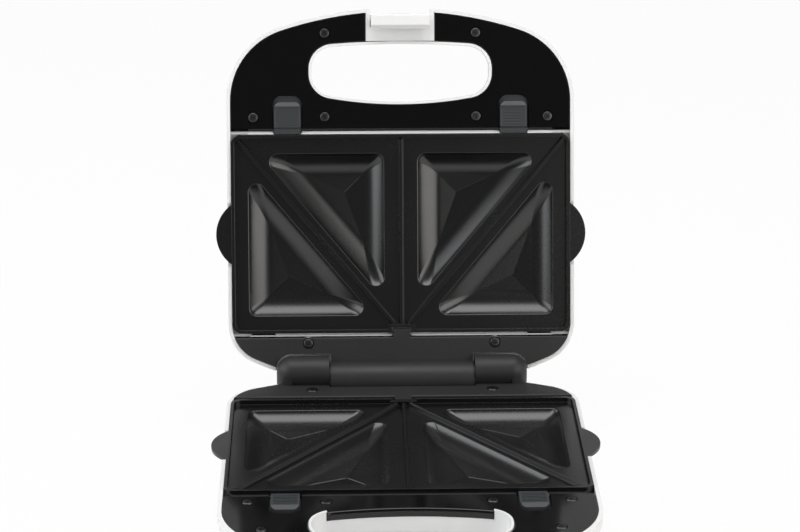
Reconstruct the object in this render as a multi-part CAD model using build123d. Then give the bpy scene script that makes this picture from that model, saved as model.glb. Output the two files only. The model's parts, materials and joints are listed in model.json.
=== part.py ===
"""Sandwich toaster: two hinged casing halves with removable twin-triangle plates.

Each half is drawn in its own half frame: X to the right, Y to the back, and Z = 0
in the plane of its plate's rim, with the inside of the casing below it (Z < 0).
The base half is raised onto its feet. The lid half is the same frame turned over
about Y, laid on the base with PLATE_GAP between the rims, and then swung open
about the hinge axis, which lies midway between the rims. The whole stands on the
table at Z = 0, with the handle at -Y and the origin under the middle of its box.
"""

import os
from math import atan, cos, degrees, hypot, radians, sin, tan

from build123d import *

# ------------------------------------------------------------ cooking plates
PLATE_W = 225.0
PLATE_D = 132.0
PLATE_CORNER_R = 6.5
PLATE_GAP = 1.0  # between the two rims, lid closed
PLATE_WALL = 2.4
RIM_W = 2.0
RIM_H = 3.3  # rim above the plate's field
SKIRT_Z = -6.2  # underside of the plate's edge
RIB_H = 2.6  # dividing ribs above the field
RIB_W = 3.4
RIB_TOP_W = 1.8
RIB_REAR_MARGIN = 5.0  # from the plate's rear edge to the ribs
RIB_FRONT_MARGIN = 2.4
RIB_SIDE_MARGIN = 3.5
RIB_REAR_X = 4.0  # the diagonal ribs start this far from the centre line
NOTCH_W = 13.0  # locating notch in the rim at the rear centre
NOTCH_D = 3.6
TAB_REACH = 10.3  # half-round grip tab at each side
TAB_HALF = 20.0
TAB_T = 2.2
TAB_Z = -1.0

# every place before or behind the plates is taken from these edges
REAR_EDGE = PLATE_D / 2
FRONT_EDGE = -PLATE_D / 2
SIDE_EDGE = PLATE_W / 2

FIELD_Z = -RIM_H

# sandwich pockets: right triangles whose three floors meet at a deepest point
POCKET_LEG_X = SIDE_EDGE - 30.5
POCKET_LEG_Y = PLATE_D - 34.4
POCKET_DEPTH = 8.4  # below the field, at the deepest point
POCKET_EDGE_DEPTH = 3.6  # below the field, at the foot of the walls
POCKET_CORNER_R = 5.5
POCKET_DRAFT = 22.0  # wall angle from upright
POCKET_EASE = 57.0  # angle of the eased strip at the foot of the walls
POCKET_EASE_DEPTH = 2.4  # where the strip starts, below the field
POCKET_EASE_END = 4.8
FRONT_POCKET = (11.3, FRONT_EDGE + 12.7)  # right-angled corners
REAR_POCKET = (SIDE_EDGE - 11.3, REAR_EDGE - 11.4)

# ------------------------------------------------------------ casing halves
WALL = 2.4
FIT = 0.2  # gap round a cover or other moulding
SIDE_GAP = 0.3  # from the plate to the casing's side walls
HANDLE_REACH = 83.8  # from the plate to the front of the handle, at the middle
HINGE_REACH = 30.3  # from the plate to the hinge axis
REAR_REACH = 9.6  # from the hinge axis to the back of the casing
BODY_W = PLATE_W + 2 * (SIDE_GAP + WALL)
BODY_H = 43.0  # from the plate rim to the far face
BODY_FRONT_Y = FRONT_EDGE - HANDLE_REACH
HINGE_Y = REAR_EDGE + HINGE_REACH
BODY_REAR_Y = HINGE_Y + REAR_REACH
FRONT_BOW = 27.3  # how far the bowed front falls back over the whole width
REAR_BOW = 28.5
FRONT_CORNER_R = 51.4
REAR_CORNER_R = 27.4
EDGE_R = 12.0  # rounding of the far face's edge
LIP_Z = -1.2  # top of the casing's rim
HANDLE_H = 20.0  # from the plate rim to the far face at the handle
STEP_HALF = 10.0  # the far face steps in over this, each side of the plate's edge
STEP_FRONT_Y = FRONT_EDGE - STEP_HALF
STEP_REAR_Y = FRONT_EDGE + STEP_HALF
STEP_R = 16.0

# ------------------------------------------------------------ handle opening
GRIP_BEHIND = 22.1  # from the front of the handle to the opening
GRIP_DEPTH = 42.0
GRIP_W = 121.6
GRIP_FRONT_Y = BODY_FRONT_Y + GRIP_BEHIND
GRIP_REAR_Y = GRIP_FRONT_Y + GRIP_DEPTH
GRIP_FRONT_R = 620.0  # plan radius of its bowed front edge
GRIP_REAR_R = 268.0
GRIP_CORNER_R = 16.5
GRIP_LIP = 1.8  # the casing's collar shows this much inside the cover
GRIP_EDGE_R = 4.0
FLANGE_W = 100.0  # downward flange of the base cover at the opening's rear edge
FLANGE_DEPTH = 5.4
FLANGE_T = GRIP_LIP + 2 * FIT  # it hides the collar there
FLANGE_R = 1.8  # rounding of the cover over it

# ------------------------------------------------------------ covers
COVER_Z = -2.0  # upper face of the black covers
HINGE_COVER_Z = 0.0  # upper face of the charcoal covers
COVER_T = 2.2
COVER_EDGE = 0.6  # bevel round a cover
COVER_REAR_EDGE = 1.2  # bevel of a front cover along the plate
FRONT_COVER_Y = FRONT_EDGE - 2.9  # rear edge of the front cover
HINGE_COVER_Y = REAR_EDGE + 3.0  # front edge of the hinge cover
COVER_UNDER = COVER_Z - COVER_T
HINGE_COVER_UNDER = HINGE_COVER_Z - COVER_T
CROSS_WALL_T = 1.8  # walls of the casing before and behind the plate
CROSS_WALL_GAP = 0.4  # from them to the plate
CROSS_WALL_Z = COVER_UNDER - FIT
CROSS_LIP_T = 0.8  # thin lips on the lid's cross walls
CROSS_LIP_Z = COVER_Z - FIT
CROSS_LIP_HALF = SIDE_EDGE - 11.5

SCREW_HEAD_R = 3.2
SCREW_HEAD_T = 1.8
SCREW_HEAD_BEVEL = 0.7
SCREW_SHANK_R = 1.5
SCREW_LENGTH = 12.0
SCREW_SEAT_R = 3.75
SCREW_SEAT_DEPTH = 1.3
SCREW_FIT = 0.06
BOSS_R = 4.2

# ------------------------------------------------------------ plate latches
LATCH_X = SIDE_EDGE - 37.5
LATCH_W = 17.6
LATCH_TRAVEL = 3.5
LATCH_GAP = 0.9  # to the sides of its slot
LATCH_TIP_GAP = 0.5  # from the plate's edge to the tongue's tip
LATCH_TONGUE_L = 3.5
LATCH_TONGUE_T = 2.4
LATCH_PAD_L = 14.0
LATCH_PAD_RISE = 1.3  # of its pad above the cover
LATCH_NOSE_L = 3.6  # thumb slope in front of the ledge
LATCH_HEEL_L = 2.0
LATCH_FOOT_H = 4.0  # of its foot below the plate's skirt
LATCH_TAIL_T = 0.9  # leaf under the cover that closes the slot
LATCH_CORNER_R = 4.0
LATCH_SLOT_R = 6.0
GROOVES = 7
GROOVE_PITCH = 1.9
GROOVE_W = 0.7
GROOVE_DEPTH = 0.5
SPRING_WIRE_R = 0.35
LATCH_SPRING_R = 1.5
SPRING_SEAT_DEPTH = 3.0
SPRING_SOLID = 3.3  # what is left for the spring when the latch is drawn back

LATCH_TIP_Y = FRONT_EDGE - LATCH_TIP_GAP
LATCH_PAD_Y = LATCH_TIP_Y - LATCH_TONGUE_L
LATCH_HEEL_Y = LATCH_PAD_Y - LATCH_HEEL_L
LATCH_LEDGE_Y = LATCH_PAD_Y - LATCH_PAD_L
LATCH_FRONT_Y = LATCH_LEDGE_Y - LATCH_NOSE_L
LATCH_SLOT_Y = LATCH_FRONT_Y - LATCH_TRAVEL - 3.5 * FIT
SPRING_STOP_Y = LATCH_FRONT_Y - LATCH_TRAVEL - SPRING_SOLID
LATCH_PAD_Z = COVER_Z + LATCH_PAD_RISE
LATCH_FOOT_Z = SKIRT_Z - LATCH_FOOT_H
LATCH_SPRING_Z = LATCH_FOOT_Z + 2.5
LATCH_TAIL_HALF = LATCH_W / 2 + LATCH_GAP + 3 * FIT
LATCH_TAIL_Z = COVER_UNDER - FIT - LATCH_TAIL_T  # its underside

# plate lugs: two at the back under the hinge cover, two under the latches
LUG_W = 15.0
LUG_T = 1.5
FRONT_LUG_REACH = 2.6
REAR_LUG_REACH = 4.6
REAR_LUG_X = SIDE_EDGE - 20.5
LUG_GAP = 0.3
LATCH_TONGUE_Z = SKIRT_Z + LUG_T + LUG_GAP  # underside of the latches' tongues

# screw places: front cover, handle and hinge cover
FRONT_SCREWS = (
    (LATCH_X + 22.6, FRONT_EDGE - 11.5),
    (LATCH_X - 24.8, FRONT_EDGE - 11.8),
)
LID_GRIP_SCREW = (50.0, GRIP_FRONT_Y - 5.3)
BASE_GRIP_SCREW = (SIDE_EDGE - 24.1, FRONT_EDGE - 46.8)
LID_HINGE_SCREW = (62.2, REAR_EDGE + 6.8)
BASE_HINGE_SCREW = (59.5, REAR_EDGE + 13.5)
LID_SCREWS = FRONT_SCREWS + (LID_GRIP_SCREW, LID_HINGE_SCREW)
BASE_SCREWS = FRONT_SCREWS + (BASE_GRIP_SCREW, BASE_HINGE_SCREW)

# ------------------------------------------------------------ floating hinge
HINGE_Z = PLATE_GAP / 2  # midway between the rims
LID_OPEN_DEG = 107.6
HINGE_FLOAT = 4.0  # the pin rises this far for thick bread
PIN_R = 2.5
PIN_FIT = 0.05
SLOT_FIT = 0.1
BARREL_R = 11.5
BARREL_HALF = 47.3
BARREL_WALL = 2.4
BARREL_END = 3.0
KNUCKLE_R = 10.4
KNUCKLE_RISE = 5.3  # knuckle centre above the resting hinge axis
KNUCKLE_L = 34.9
KNUCKLE_IN = BARREL_HALF + 1.2  # |X| of the flat inner end
KNUCKLE_OUT = KNUCKLE_IN + KNUCKLE_L  # |X| of the domed outer end
DOME_X = KNUCKLE_OUT - KNUCKLE_R
COLLAR_R = BARREL_R - 1.0  # collar on each end of the barrel
COLLAR_GAP = 0.3  # from it to the knuckle
PIN_HALF = KNUCKLE_IN + 20.5
SLOT_END = PIN_HALF + 1.0
TOWER_FRONT = 8.4  # hinge tower, reach before and behind the hinge axis
TOWER_REAR = 9.0
TOWER_Z = -20.0
TROUGH_GAP = 0.8
TROUGH_T = 2.0
TROUGH_R = BARREL_R + TROUGH_GAP + TROUGH_T
TROUGH_REAR_DEG = 30.0  # trough ends this far behind straight down
STOP_GAP_DEG = 1.4
STOP_SPAN_DEG = 11.0
STOP_X = 30.0
STOP_W = 10.0
STOP_R = TROUGH_R - 0.1
RELIEF_DROP = 1.5  # base's rear wall is cut this far below the trough's edge
RELIEF_Z = HINGE_Z - TROUGH_R * cos(radians(TROUGH_REAR_DEG)) - RELIEF_DROP
LID_RELIEF_R = TROUGH_R + 0.8  # lid's rear wall starts this far from the axis
NOTCH_GAP_IN = 1.2  # lid notch round each knuckle
NOTCH_GAP = 0.9
NOTCH_R = KNUCKLE_RISE + KNUCKLE_R + NOTCH_GAP  # as far as the knuckle sweeps

# ------------------------------------------------------------ lid latch
CLIP_HALF = 19.4
CLIP_NOTCH_HALF = CLIP_HALF + 0.5
CLIP_BLOCK_HALF = 22.6  # white block between the two arms of the cover
CLIP_FRONT_Y = BODY_FRONT_Y + 4.6  # outer face of the clip
CLIP_PIVOT_Z = -HANDLE_H + 8.5
CLIP_BARREL_R = 4.0
CLIP_PIN_R = 1.5
CLIP_ARM_T = 3.2
CLIP_HOOK_L = 9.6  # from its outer face to the tip of the nose
CLIP_HOOK_EDGE = 1.2
CLIP_BEVEL_Y = 2.2  # bevel of the hook's tip
CLIP_BEVEL_Z = 2.8
CLIP_REACH_Z = 11.0  # tip of the hook past the lid's rim plane
CLIP_PIVOT_Y = CLIP_FRONT_Y + CLIP_BARREL_R
CLIP_BACK_Y = CLIP_FRONT_Y + CLIP_ARM_T
CLIP_NOSE_Y = CLIP_FRONT_Y + CLIP_HOOK_L
CLIP_NOSE_Z = 6.0  # catching face of the hook
CLIP_SPRING_R = 2.55
CLIP_SPRING_LENGTH = 6.0
CATCH_GAP = 0.5
CATCH_FRONT_Y = CLIP_BACK_Y + 0.6
CATCH_ROOM = 1.5  # round the hook, inside the catch

# ------------------------------------------------------------ heating
HEATER_R = 3.25
HEATER_GAP = 1.15  # under the deepest point of the pockets
HEATER_Z = FIELD_Z - POCKET_DEPTH - PLATE_WALL - HEATER_GAP - HEATER_R
HEATER_X = SIDE_EDGE - 20.5
HEATER_FRONT_Y = FRONT_EDGE + 22.0
HEATER_REAR_Y = REAR_EDGE - 26.0
HEATER_END_X = 26.0
HEATER_BEND_R = 14.0
TERMINAL_R = 1.4
TERMINAL_L = 9.0
PAN_FLANGE_W = 4.5
PAN_W = PLATE_W - 2 * PAN_FLANGE_W
PAN_D = PLATE_D - 2 * PAN_FLANGE_W
PAN_CORNER_R = 8.0
PAN_T = 0.8
PAN_ROOM = 3.05  # from the heater to the underside of the heat reflector
PAN_Z = HEATER_Z - HEATER_R - PAN_ROOM
PAN_SEAT = 0.2  # gap over the reflector's flange and its saddles
PAN_FLANGE_Z = SKIRT_Z - PAN_SEAT
SADDLE_HALF = 4.0
SADDLE_X = 45.0  # the front pair, from the centre line
THERMOSTAT_AT = (0.0, -8.0)
THERMOSTAT_R = 8.0
THERMOSTAT_H = 6.5
BLADE_X = 3.5
BLADE_HALF = 3.0
BLADE_L = 5.5
FUSE_R = 2.0
FUSE_L = 12.0
FUSE_AT = (36.0, 8.0)

LENS_R = 4.0
LENS_X = 9.0
LENS_Y = FRONT_EDGE + 26.0
LENS_FLANGE_R = 5.2
LENS_FLANGE_T = 1.2
LENS_DOME = 1.4  # height of its domed face
LAMP_R = 2.4
LAMP_L = 9.0

# ------------------------------------------------------------ base fittings
FOOT_H = 4.0
FOOT_R = 7.5
FOOT_STEM_R = 2.6
FOOT_CAP_R = 3.6
FOOT_CAP_T = 1.5
FRONT_FOOT = (SIDE_EDGE - 28.5, FRONT_EDGE + 26.0)
REAR_FOOT = (70.0, HINGE_Y - 20.3)
GLAND_X = -62.0
GLAND_Z = -BODY_H + 15.0
GLAND_R = 6.0
GLAND_BORE_R = 3.3
GLAND_FLANGE_R = 8.0
GLAND_FLANGE_T = 2.0
GLAND_LENGTH = 9.0
GLAND_SEAT_Y = BODY_REAR_Y - 6.4  # flat seat of its flange on the back wall
VENT_COUNT = 7
VENT_PITCH = 9.0
VENT_W = 2.6
VENT_L = 26.0
VENT_ROW_Y = 18.0
BLOCK_SIZE = (34.0, 13.0, 15.0)  # ceramic terminal block
BLOCK_AT = (-28.0, REAR_EDGE - 19.0)
BLOCK_WAYS = 3

DRAFT = radians(POCKET_DRAFT)
EASE = radians(POCKET_EASE)
RIM_HEIGHT = BODY_H + FOOT_H  # base rim above the table
FLOOR_Z = -BODY_H + WALL  # inner face of the casing's far wall


# ------------------------------------------------------------ helpers
def block(x0, x1, y0, y1, z0, z1):
    """A box between two corners."""
    size = Box(abs(x1 - x0), abs(y1 - y0), abs(z1 - z0))
    return Pos((x0 + x1) / 2, (y0 + y1) / 2, (z0 + z1) / 2) * size


def bar_x(radius, x0, x1, y, z):
    """A round bar along X."""
    bar = Rot(0, 90, 0) * Cylinder(radius, abs(x1 - x0))
    return Pos((x0 + x1) / 2, y, z) * bar


def post(radius, x, y, z0, z1):
    """An upright round post."""
    return Pos(x, y, (z0 + z1) / 2) * Cylinder(radius, abs(z1 - z0))


def slab(sketch, z_low, z_high):
    """A plan sketch raised from z_low to z_high."""
    return Pos(0, 0, z_low) * extrude(sketch, amount=z_high - z_low)


def across(sketch, x0, x1):
    """A sketch in Y and Z, stretched from x0 to x1."""
    return Pos(x0, 0, 0) * extrude(Plane.YZ * sketch, amount=x1 - x0)


def outline(points):
    """A closed sketch through plain points."""
    return make_face(Polyline(*points, close=True))


def both_sides(shape):
    """A shape made for the right side, with its mirror image."""
    return shape + mirror(shape, about=Plane.YZ)


def sides(points):
    """Mirrored pairs of (x, y) places."""
    return [(sign * x, y) for x, y in points for sign in (-1, 1)]


def cover_z(y):
    """Upper face of the cover that lies at a place."""
    return HINGE_COVER_Z if y > 0 else COVER_Z


# ------------------------------------------------------------ plan outlines
def bow_radius(bow):
    """Radius of an arc over the casing's width, from its height."""
    return ((BODY_W / 2) ** 2 + bow**2) / (2 * bow)


def plan(inset=0.0):
    """Plan of a casing half: straight sides, bowed front and back."""
    front_r, rear_r = bow_radius(FRONT_BOW), bow_radius(REAR_BOW)
    face = Rectangle(BODY_W - 2 * inset, 2 * BODY_W)
    face &= Pos(0, BODY_FRONT_Y + front_r) * Circle(front_r - inset)
    face &= Pos(0, BODY_REAR_Y - rear_r) * Circle(rear_r - inset)
    front = face.vertices().sort_by(Axis.Y)[:2]
    face = fillet(front, FRONT_CORNER_R - inset)
    rear = face.vertices().sort_by(Axis.Y)[-2:]
    return fillet(rear, REAR_CORNER_R - inset)


def grip_plan(inset=0.0):
    """Plan of the handle opening."""
    face = Rectangle(GRIP_W - 2 * inset, 2 * GRIP_W)
    face = Pos(0, (GRIP_FRONT_Y + GRIP_REAR_Y) / 2) * face
    face &= Pos(0, GRIP_FRONT_Y + GRIP_FRONT_R) * Circle(GRIP_FRONT_R - inset)
    face &= Pos(0, GRIP_REAR_Y - GRIP_REAR_R) * Circle(GRIP_REAR_R - inset)
    return fillet(face.vertices(), GRIP_CORNER_R - inset)


def side_profile(inset=0.0):
    """Side view of a casing half, running out past its ends and its rim."""
    past = 60.0
    face = outline(
        [
            (BODY_REAR_Y + past, past),
            (BODY_REAR_Y + past, -BODY_H),
            (STEP_REAR_Y, -BODY_H),
            (STEP_FRONT_Y, -HANDLE_H),
            (BODY_FRONT_Y - past, -HANDLE_H),
            (BODY_FRONT_Y - past, past),
        ]
    )
    step = [v for v in face.vertices() if STEP_FRONT_Y <= v.X <= STEP_REAR_Y]
    face = fillet(step, STEP_R)
    return offset(face, amount=-inset) if inset else face


def half_body(inset=0.0):
    """A casing half as one solid, inset all over but at its rim."""
    body = slab(plan(inset), -BODY_H - 1, LIP_Z)
    body &= across(side_profile(inset), -BODY_W, BODY_W)
    far = [e for e in body.edges() if is_far_edge(e)]
    return fillet(far, EDGE_R - inset)


def is_far_edge(edge):
    """Whether an edge bounds the far face, and isn't a line across or down it."""
    if edge.bounding_box().max.Z > LIP_Z - 1:
        return False
    return edge.geom_type != GeomType.LINE or abs(edge.tangent_at(0.5).X) < 0.5


# ------------------------------------------------------------ cooking plate
def pocket_mouth(grow=0.0):
    """Rounded triangle of a pocket, its right-angled corner at the origin."""
    mouth = outline([(0, 0), (POCKET_LEG_X, 0), (0, POCKET_LEG_Y)])
    mouth = fillet(mouth.vertices(), POCKET_CORNER_R)
    return offset(mouth, amount=grow) if grow else mouth


def pocket_floors(drop):
    """Solid above the three floors, which meet equally far from the three walls."""
    ax = ay = (POCKET_LEG_X + POCKET_LEG_Y - hypot(POCKET_LEG_X, POCKET_LEG_Y)) / 2
    wide = (POCKET_DEPTH + drop + 1) / (POCKET_DEPTH - POCKET_EDGE_DEPTH)
    top = [
        (ax + (x - ax) * wide, ay + (y - ay) * wide, FIELD_Z + 1)
        for x, y in ((0, 0), (POCKET_LEG_X, 0), (0, POCKET_LEG_Y))
    ]
    apex = (ax, ay, FIELD_Z - POCKET_DEPTH - drop)
    faces = [make_face(Polyline(*top, close=True))]
    for i in range(3):
        edge = (top[i], top[(i + 1) % 3], apex)
        faces.append(make_face(Polyline(*edge, close=True)))
    return Solid(Shell(faces))


def pocket(grow=0.0):
    """A sandwich pocket below the field: drafted walls easing into the floors."""
    depth = POCKET_DEPTH + grow
    walls = extrude(pocket_mouth(grow), amount=-depth, taper=POCKET_DRAFT)
    spread = POCKET_EASE_DEPTH * (tan(EASE) - tan(DRAFT)) + grow
    eased = extrude(
        pocket_mouth(spread), amount=-POCKET_EASE_END - grow, taper=POCKET_EASE
    )
    inner = pocket_mouth(spread - (POCKET_EASE_END + grow) * tan(EASE))
    eased += slab(inner, -depth, -POCKET_EASE_END)
    return Pos(0, 0, FIELD_Z) * (walls & eased) & pocket_floors(grow)


def pockets(grow=0.0):
    """The four pockets of a plate."""
    x, y = FRONT_POCKET
    front = Pos(x, y) * pocket(grow)
    x, y = REAR_POCKET
    rear = Pos(x, y) * Rot(0, 0, 180) * pocket(grow)
    return both_sides(front + rear)


def ribs():
    """Dividing ribs: one down the middle and one to each front corner."""
    slope = degrees(atan((RIB_W - RIB_TOP_W) / 2 / RIB_H))
    rear = REAR_EDGE - RIB_REAR_MARGIN
    front = FRONT_EDGE + RIB_FRONT_MARGIN
    run = rear - front
    middle = extrude(Rectangle(RIB_W, run), amount=RIB_H, taper=slope)
    middle = Pos(0, (rear + front) / 2, FIELD_Z) * middle
    end = SIDE_EDGE - RIB_SIDE_MARGIN
    reach = end - RIB_REAR_X
    turn = degrees(atan(reach / run))
    slanted = extrude(
        Rectangle(RIB_W, hypot(reach, run)), amount=RIB_H, taper=slope
    )
    at = Pos((end + RIB_REAR_X) / 2, (rear + front) / 2, FIELD_Z)
    return middle + both_sides(at * Rot(0, 0, turn) * slanted)


def lugs(x, y, reach):
    """A pair of flat lugs at one edge of a plate, level with its underside."""
    return both_sides(
        block(x - LUG_W / 2, x + LUG_W / 2, y, y + reach, SKIRT_Z, SKIRT_Z + LUG_T)
    )


def grip_tabs():
    """Half-round tabs at the sides of a plate."""
    radius = (TAB_HALF**2 + TAB_REACH**2) / (2 * TAB_REACH)
    disc = Pos(PLATE_W / 2 + TAB_REACH - radius, 0) * Circle(radius)
    disc &= Pos(PLATE_W, 0) * Rectangle(PLATE_W + 2 * RIM_W, PLATE_W)
    return both_sides(slab(disc, TAB_Z - TAB_T, TAB_Z))


def plate():
    """A cast cooking plate: rim, field, ribs and pockets, hollow underneath."""
    body = slab(RectangleRounded(PLATE_W, PLATE_D, PLATE_CORNER_R), SKIRT_Z, 0)
    inside = RectangleRounded(
        PLATE_W - 2 * RIM_W, PLATE_D - 2 * RIM_W, PLATE_CORNER_R - RIM_W
    )
    under = slab(inside, SKIRT_Z, FIELD_Z - PLATE_WALL)
    notch_y = PLATE_D / 2 - NOTCH_D
    inside -= Pos(0, notch_y) * Rectangle(NOTCH_W + 2 * RIM_W, 2 * RIM_W)
    inside -= Pos(0, PLATE_D / 2) * Rectangle(NOTCH_W + 2 * RIM_W, 2 * NOTCH_D)
    body -= slab(inside, FIELD_Z, 0)
    body -= under
    body += pockets(PLATE_WALL)
    body += ribs()
    body += grip_tabs()
    body += lugs(LATCH_X, -PLATE_D / 2, -FRONT_LUG_REACH)
    body += lugs(REAR_LUG_X, PLATE_D / 2, REAR_LUG_REACH)
    body -= pockets()
    notch = Pos(0, PLATE_D / 2) * Rectangle(NOTCH_W, 2 * NOTCH_D)
    return body - slab(notch, SKIRT_Z - 1, 1)


# ------------------------------------------------------------ casing halves
def cross_walls():
    """Walls before and behind the plate, with gaps for its lugs and latches."""
    inner = REAR_EDGE + CROSS_WALL_GAP
    wall = block(-BODY_W, BODY_W, inner, inner + CROSS_WALL_T, -BODY_H, CROSS_WALL_Z)
    gap = LUG_W / 2 + 3 * FIT
    ends = (SKIRT_Z - LUG_GAP - FIT, 0)
    rear = wall - both_sides(
        block(REAR_LUG_X - gap, REAR_LUG_X + gap, 0, PLATE_D, *ends)
    )
    gap = LATCH_W / 2 + LATCH_GAP
    front = mirror(wall, about=Plane.XZ) - both_sides(
        block(LATCH_X - gap, LATCH_X + gap, -PLATE_D, 0, LATCH_FOOT_Z - FIT, 0)
    )
    return front + rear


def cross_lips():
    """Thin lips on the lid's cross walls: by the plate in front, away from it behind."""
    half, low, high = CROSS_LIP_HALF, CROSS_WALL_Z - FIT, CROSS_LIP_Z
    front = FRONT_EDGE - CROSS_WALL_GAP
    lips = block(-half, half, front - CROSS_LIP_T, front, low, high)
    rear = REAR_EDGE + CROSS_WALL_GAP + CROSS_WALL_T
    lips += block(-half, half, rear - CROSS_LIP_T, rear, low, high)
    gap = LATCH_W / 2 + 2 * FIT
    lips -= both_sides(block(LATCH_X - gap, LATCH_X + gap, -PLATE_D, 0, low, high))
    gap = LUG_W / 2 + 3 * FIT
    under = SKIRT_Z + LUG_T + LUG_GAP
    lips -= both_sides(block(REAR_LUG_X - gap, REAR_LUG_X + gap, 0, PLATE_D, low, under))
    return lips - block(-NOTCH_W / 2, NOTCH_W / 2, 0, PLATE_D, low, high)


def plate_ledges():
    """Corner ledges that carry the reflector's flange, and the plate on it."""
    x, y = PAN_W / 2 + 3 * FIT, PAN_D / 2 + 3 * FIT
    past = REAR_EDGE + CROSS_WALL_GAP + CROSS_WALL_T / 2
    ledge = block(x, BODY_W / 2 - WALL / 2, y, past, -BODY_H, PAN_FLANGE_Z - PAN_T)
    ledge += mirror(ledge, about=Plane.XZ)
    return both_sides(ledge)


def latch_beds():
    """Beds that the plate latches slide on, with a stop wall for the spring."""
    half = LATCH_W / 2 + LATCH_GAP + 1
    back = FRONT_EDGE - CROSS_WALL_GAP
    bed = (LATCH_X - half, LATCH_X + half)
    shape = block(*bed, SPRING_STOP_Y - WALL, back, -BODY_H, LATCH_FOOT_Z - FIT)
    top = LATCH_TAIL_Z - FIT
    shape += block(*bed, SPRING_STOP_Y - WALL, SPRING_STOP_Y, -BODY_H, top)
    return both_sides(shape)


def latch_block():
    """Solid middle of the handle, which shows between the arms of the cover."""
    wide = CLIP_BLOCK_HALF + WALL
    front, rear = BODY_FRONT_Y, GRIP_FRONT_Y
    shape = block(-wide, wide, front, rear, -BODY_H, COVER_UNDER)
    return shape + block(
        -CLIP_BLOCK_HALF, CLIP_BLOCK_HALF, front, rear, COVER_UNDER, LIP_Z
    )


def casing(screws, more):
    """Walls of a casing half, with what both halves have inside, and more."""
    keep = slab(grip_plan(FIT), -BODY_H, LIP_Z)
    keep += cross_walls()
    keep += plate_ledges()
    keep += latch_beds()
    keep += latch_block()
    keep += more
    for x, y in screws:
        keep += post(BOSS_R, x, y, -BODY_H, cover_z(y) - COVER_T)
    shell = half_body() - (half_body(WALL) - keep)
    shell -= slab(grip_plan(GRIP_LIP), -BODY_H, 0)
    mouth = [e for e in shell.edges() if in_grip_mouth(e)]
    shell = fillet(mouth, GRIP_EDGE_R)
    for x, y in screws:
        hole = SCREW_SHANK_R + SCREW_FIT
        shell -= post(hole, x, y, cover_z(y) - COVER_T - SCREW_LENGTH, 0)
    tab = TAB_HALF + 5 * FIT
    slot = block(PLATE_W / 2, BODY_W, -tab, tab, TAB_Z - TAB_T - 2 * FIT, 0)
    return shell - both_sides(slot)


def in_grip_mouth(edge):
    """Whether an edge rims the handle opening on the far face."""
    box = edge.bounding_box()
    inside = box.max.Z < -HANDLE_H + 1 and abs(box.center().X) < GRIP_W / 2
    return inside and GRIP_FRONT_Y < box.center().Y < GRIP_REAR_Y + GRIP_LIP


def knuckle_notches():
    """Space that the base's knuckles sweep at the back of the lid, with its gaps."""
    start, end = KNUCKLE_IN - NOTCH_GAP_IN, KNUCKLE_OUT + NOTCH_GAP
    arc = Pos(DOME_X, KNUCKLE_RISE) * Circle(KNUCKLE_R + NOTCH_GAP)
    half = arc & Pos(DOME_X, 0) * Rectangle(end, end, align=Align.MIN)
    half += Pos(start, 0) * Rectangle(DOME_X - start, NOTCH_R, align=Align.MIN)
    half += Pos(DOME_X, 0) * Rectangle(end - DOME_X, KNUCKLE_RISE, align=Align.MIN)
    return both_sides(Pos(0, HINGE_Y, HINGE_Z) * revolve(half, Axis.X))


def notch_walls():
    """Block that the lid's knuckle notches are cut from."""
    ends = (KNUCKLE_IN - NOTCH_GAP_IN - WALL, KNUCKLE_OUT + NOTCH_GAP + WALL)
    low = HINGE_Z - NOTCH_R - WALL
    far = (HINGE_Y - NOTCH_R - WALL, BODY_REAR_Y + WALL, low, HINGE_COVER_UNDER)
    return both_sides(block(*ends, *far))


def catch_notch(back_y, floor_z):
    """The latch's recess in the front of the handle."""
    half = CLIP_NOTCH_HALF
    return block(-half, half, BODY_FRONT_Y - 1, back_y, floor_z, 0)


def lamp_places():
    """Centres of the two indicator lamps in the lid."""
    return sides(((LENS_X, LENS_Y),))


def lid_shell():
    """The lid's casing: hinge notches, latch recess and lamp windows."""
    shell = casing(sides(LID_SCREWS), notch_walls() + cross_lips())
    shell -= knuckle_notches()
    reach = BARREL_HALF + NOTCH_GAP_IN + FIT
    shell -= bar_x(LID_RELIEF_R, -reach, reach, HINGE_Y, HINGE_Z)
    floor = CLIP_PIVOT_Z - CLIP_BARREL_R - 5 * FIT
    shell -= catch_notch(CLIP_PIVOT_Y + CLIP_BARREL_R + 2 * FIT, floor)
    reach = CLIP_NOTCH_HALF + WALL
    shell -= bar_x(
        CLIP_PIN_R + PIN_FIT, -reach, reach, CLIP_PIVOT_Y, CLIP_PIVOT_Z
    )
    for x, y in lamp_places():
        shell -= post(LENS_R + PIN_FIT, x, y, -BODY_H - 1, FLOOR_Z + 1)
    return shell


def gland_bar(radius, y0, y1):
    """A round bar on the cord's line, between two distances from the gland's seat."""
    bar = Rot(90, 0, 0) * Cylinder(radius, y1 - y0)
    return Pos(GLAND_X, GLAND_SEAT_Y + (y0 + y1) / 2, GLAND_Z) * bar


def vents():
    """Two rows of cooling slots through the base's floor."""
    slot = slab(SlotOverall(VENT_L, VENT_W, rotation=90), -BODY_H - 1, FLOOR_Z + 1)
    row = [
        Pos((i - (VENT_COUNT - 1) / 2) * VENT_PITCH, y, 0) * slot
        for i in range(VENT_COUNT)
        for y in (-VENT_ROW_Y, VENT_ROW_Y)
    ]
    return Part() + row


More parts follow.
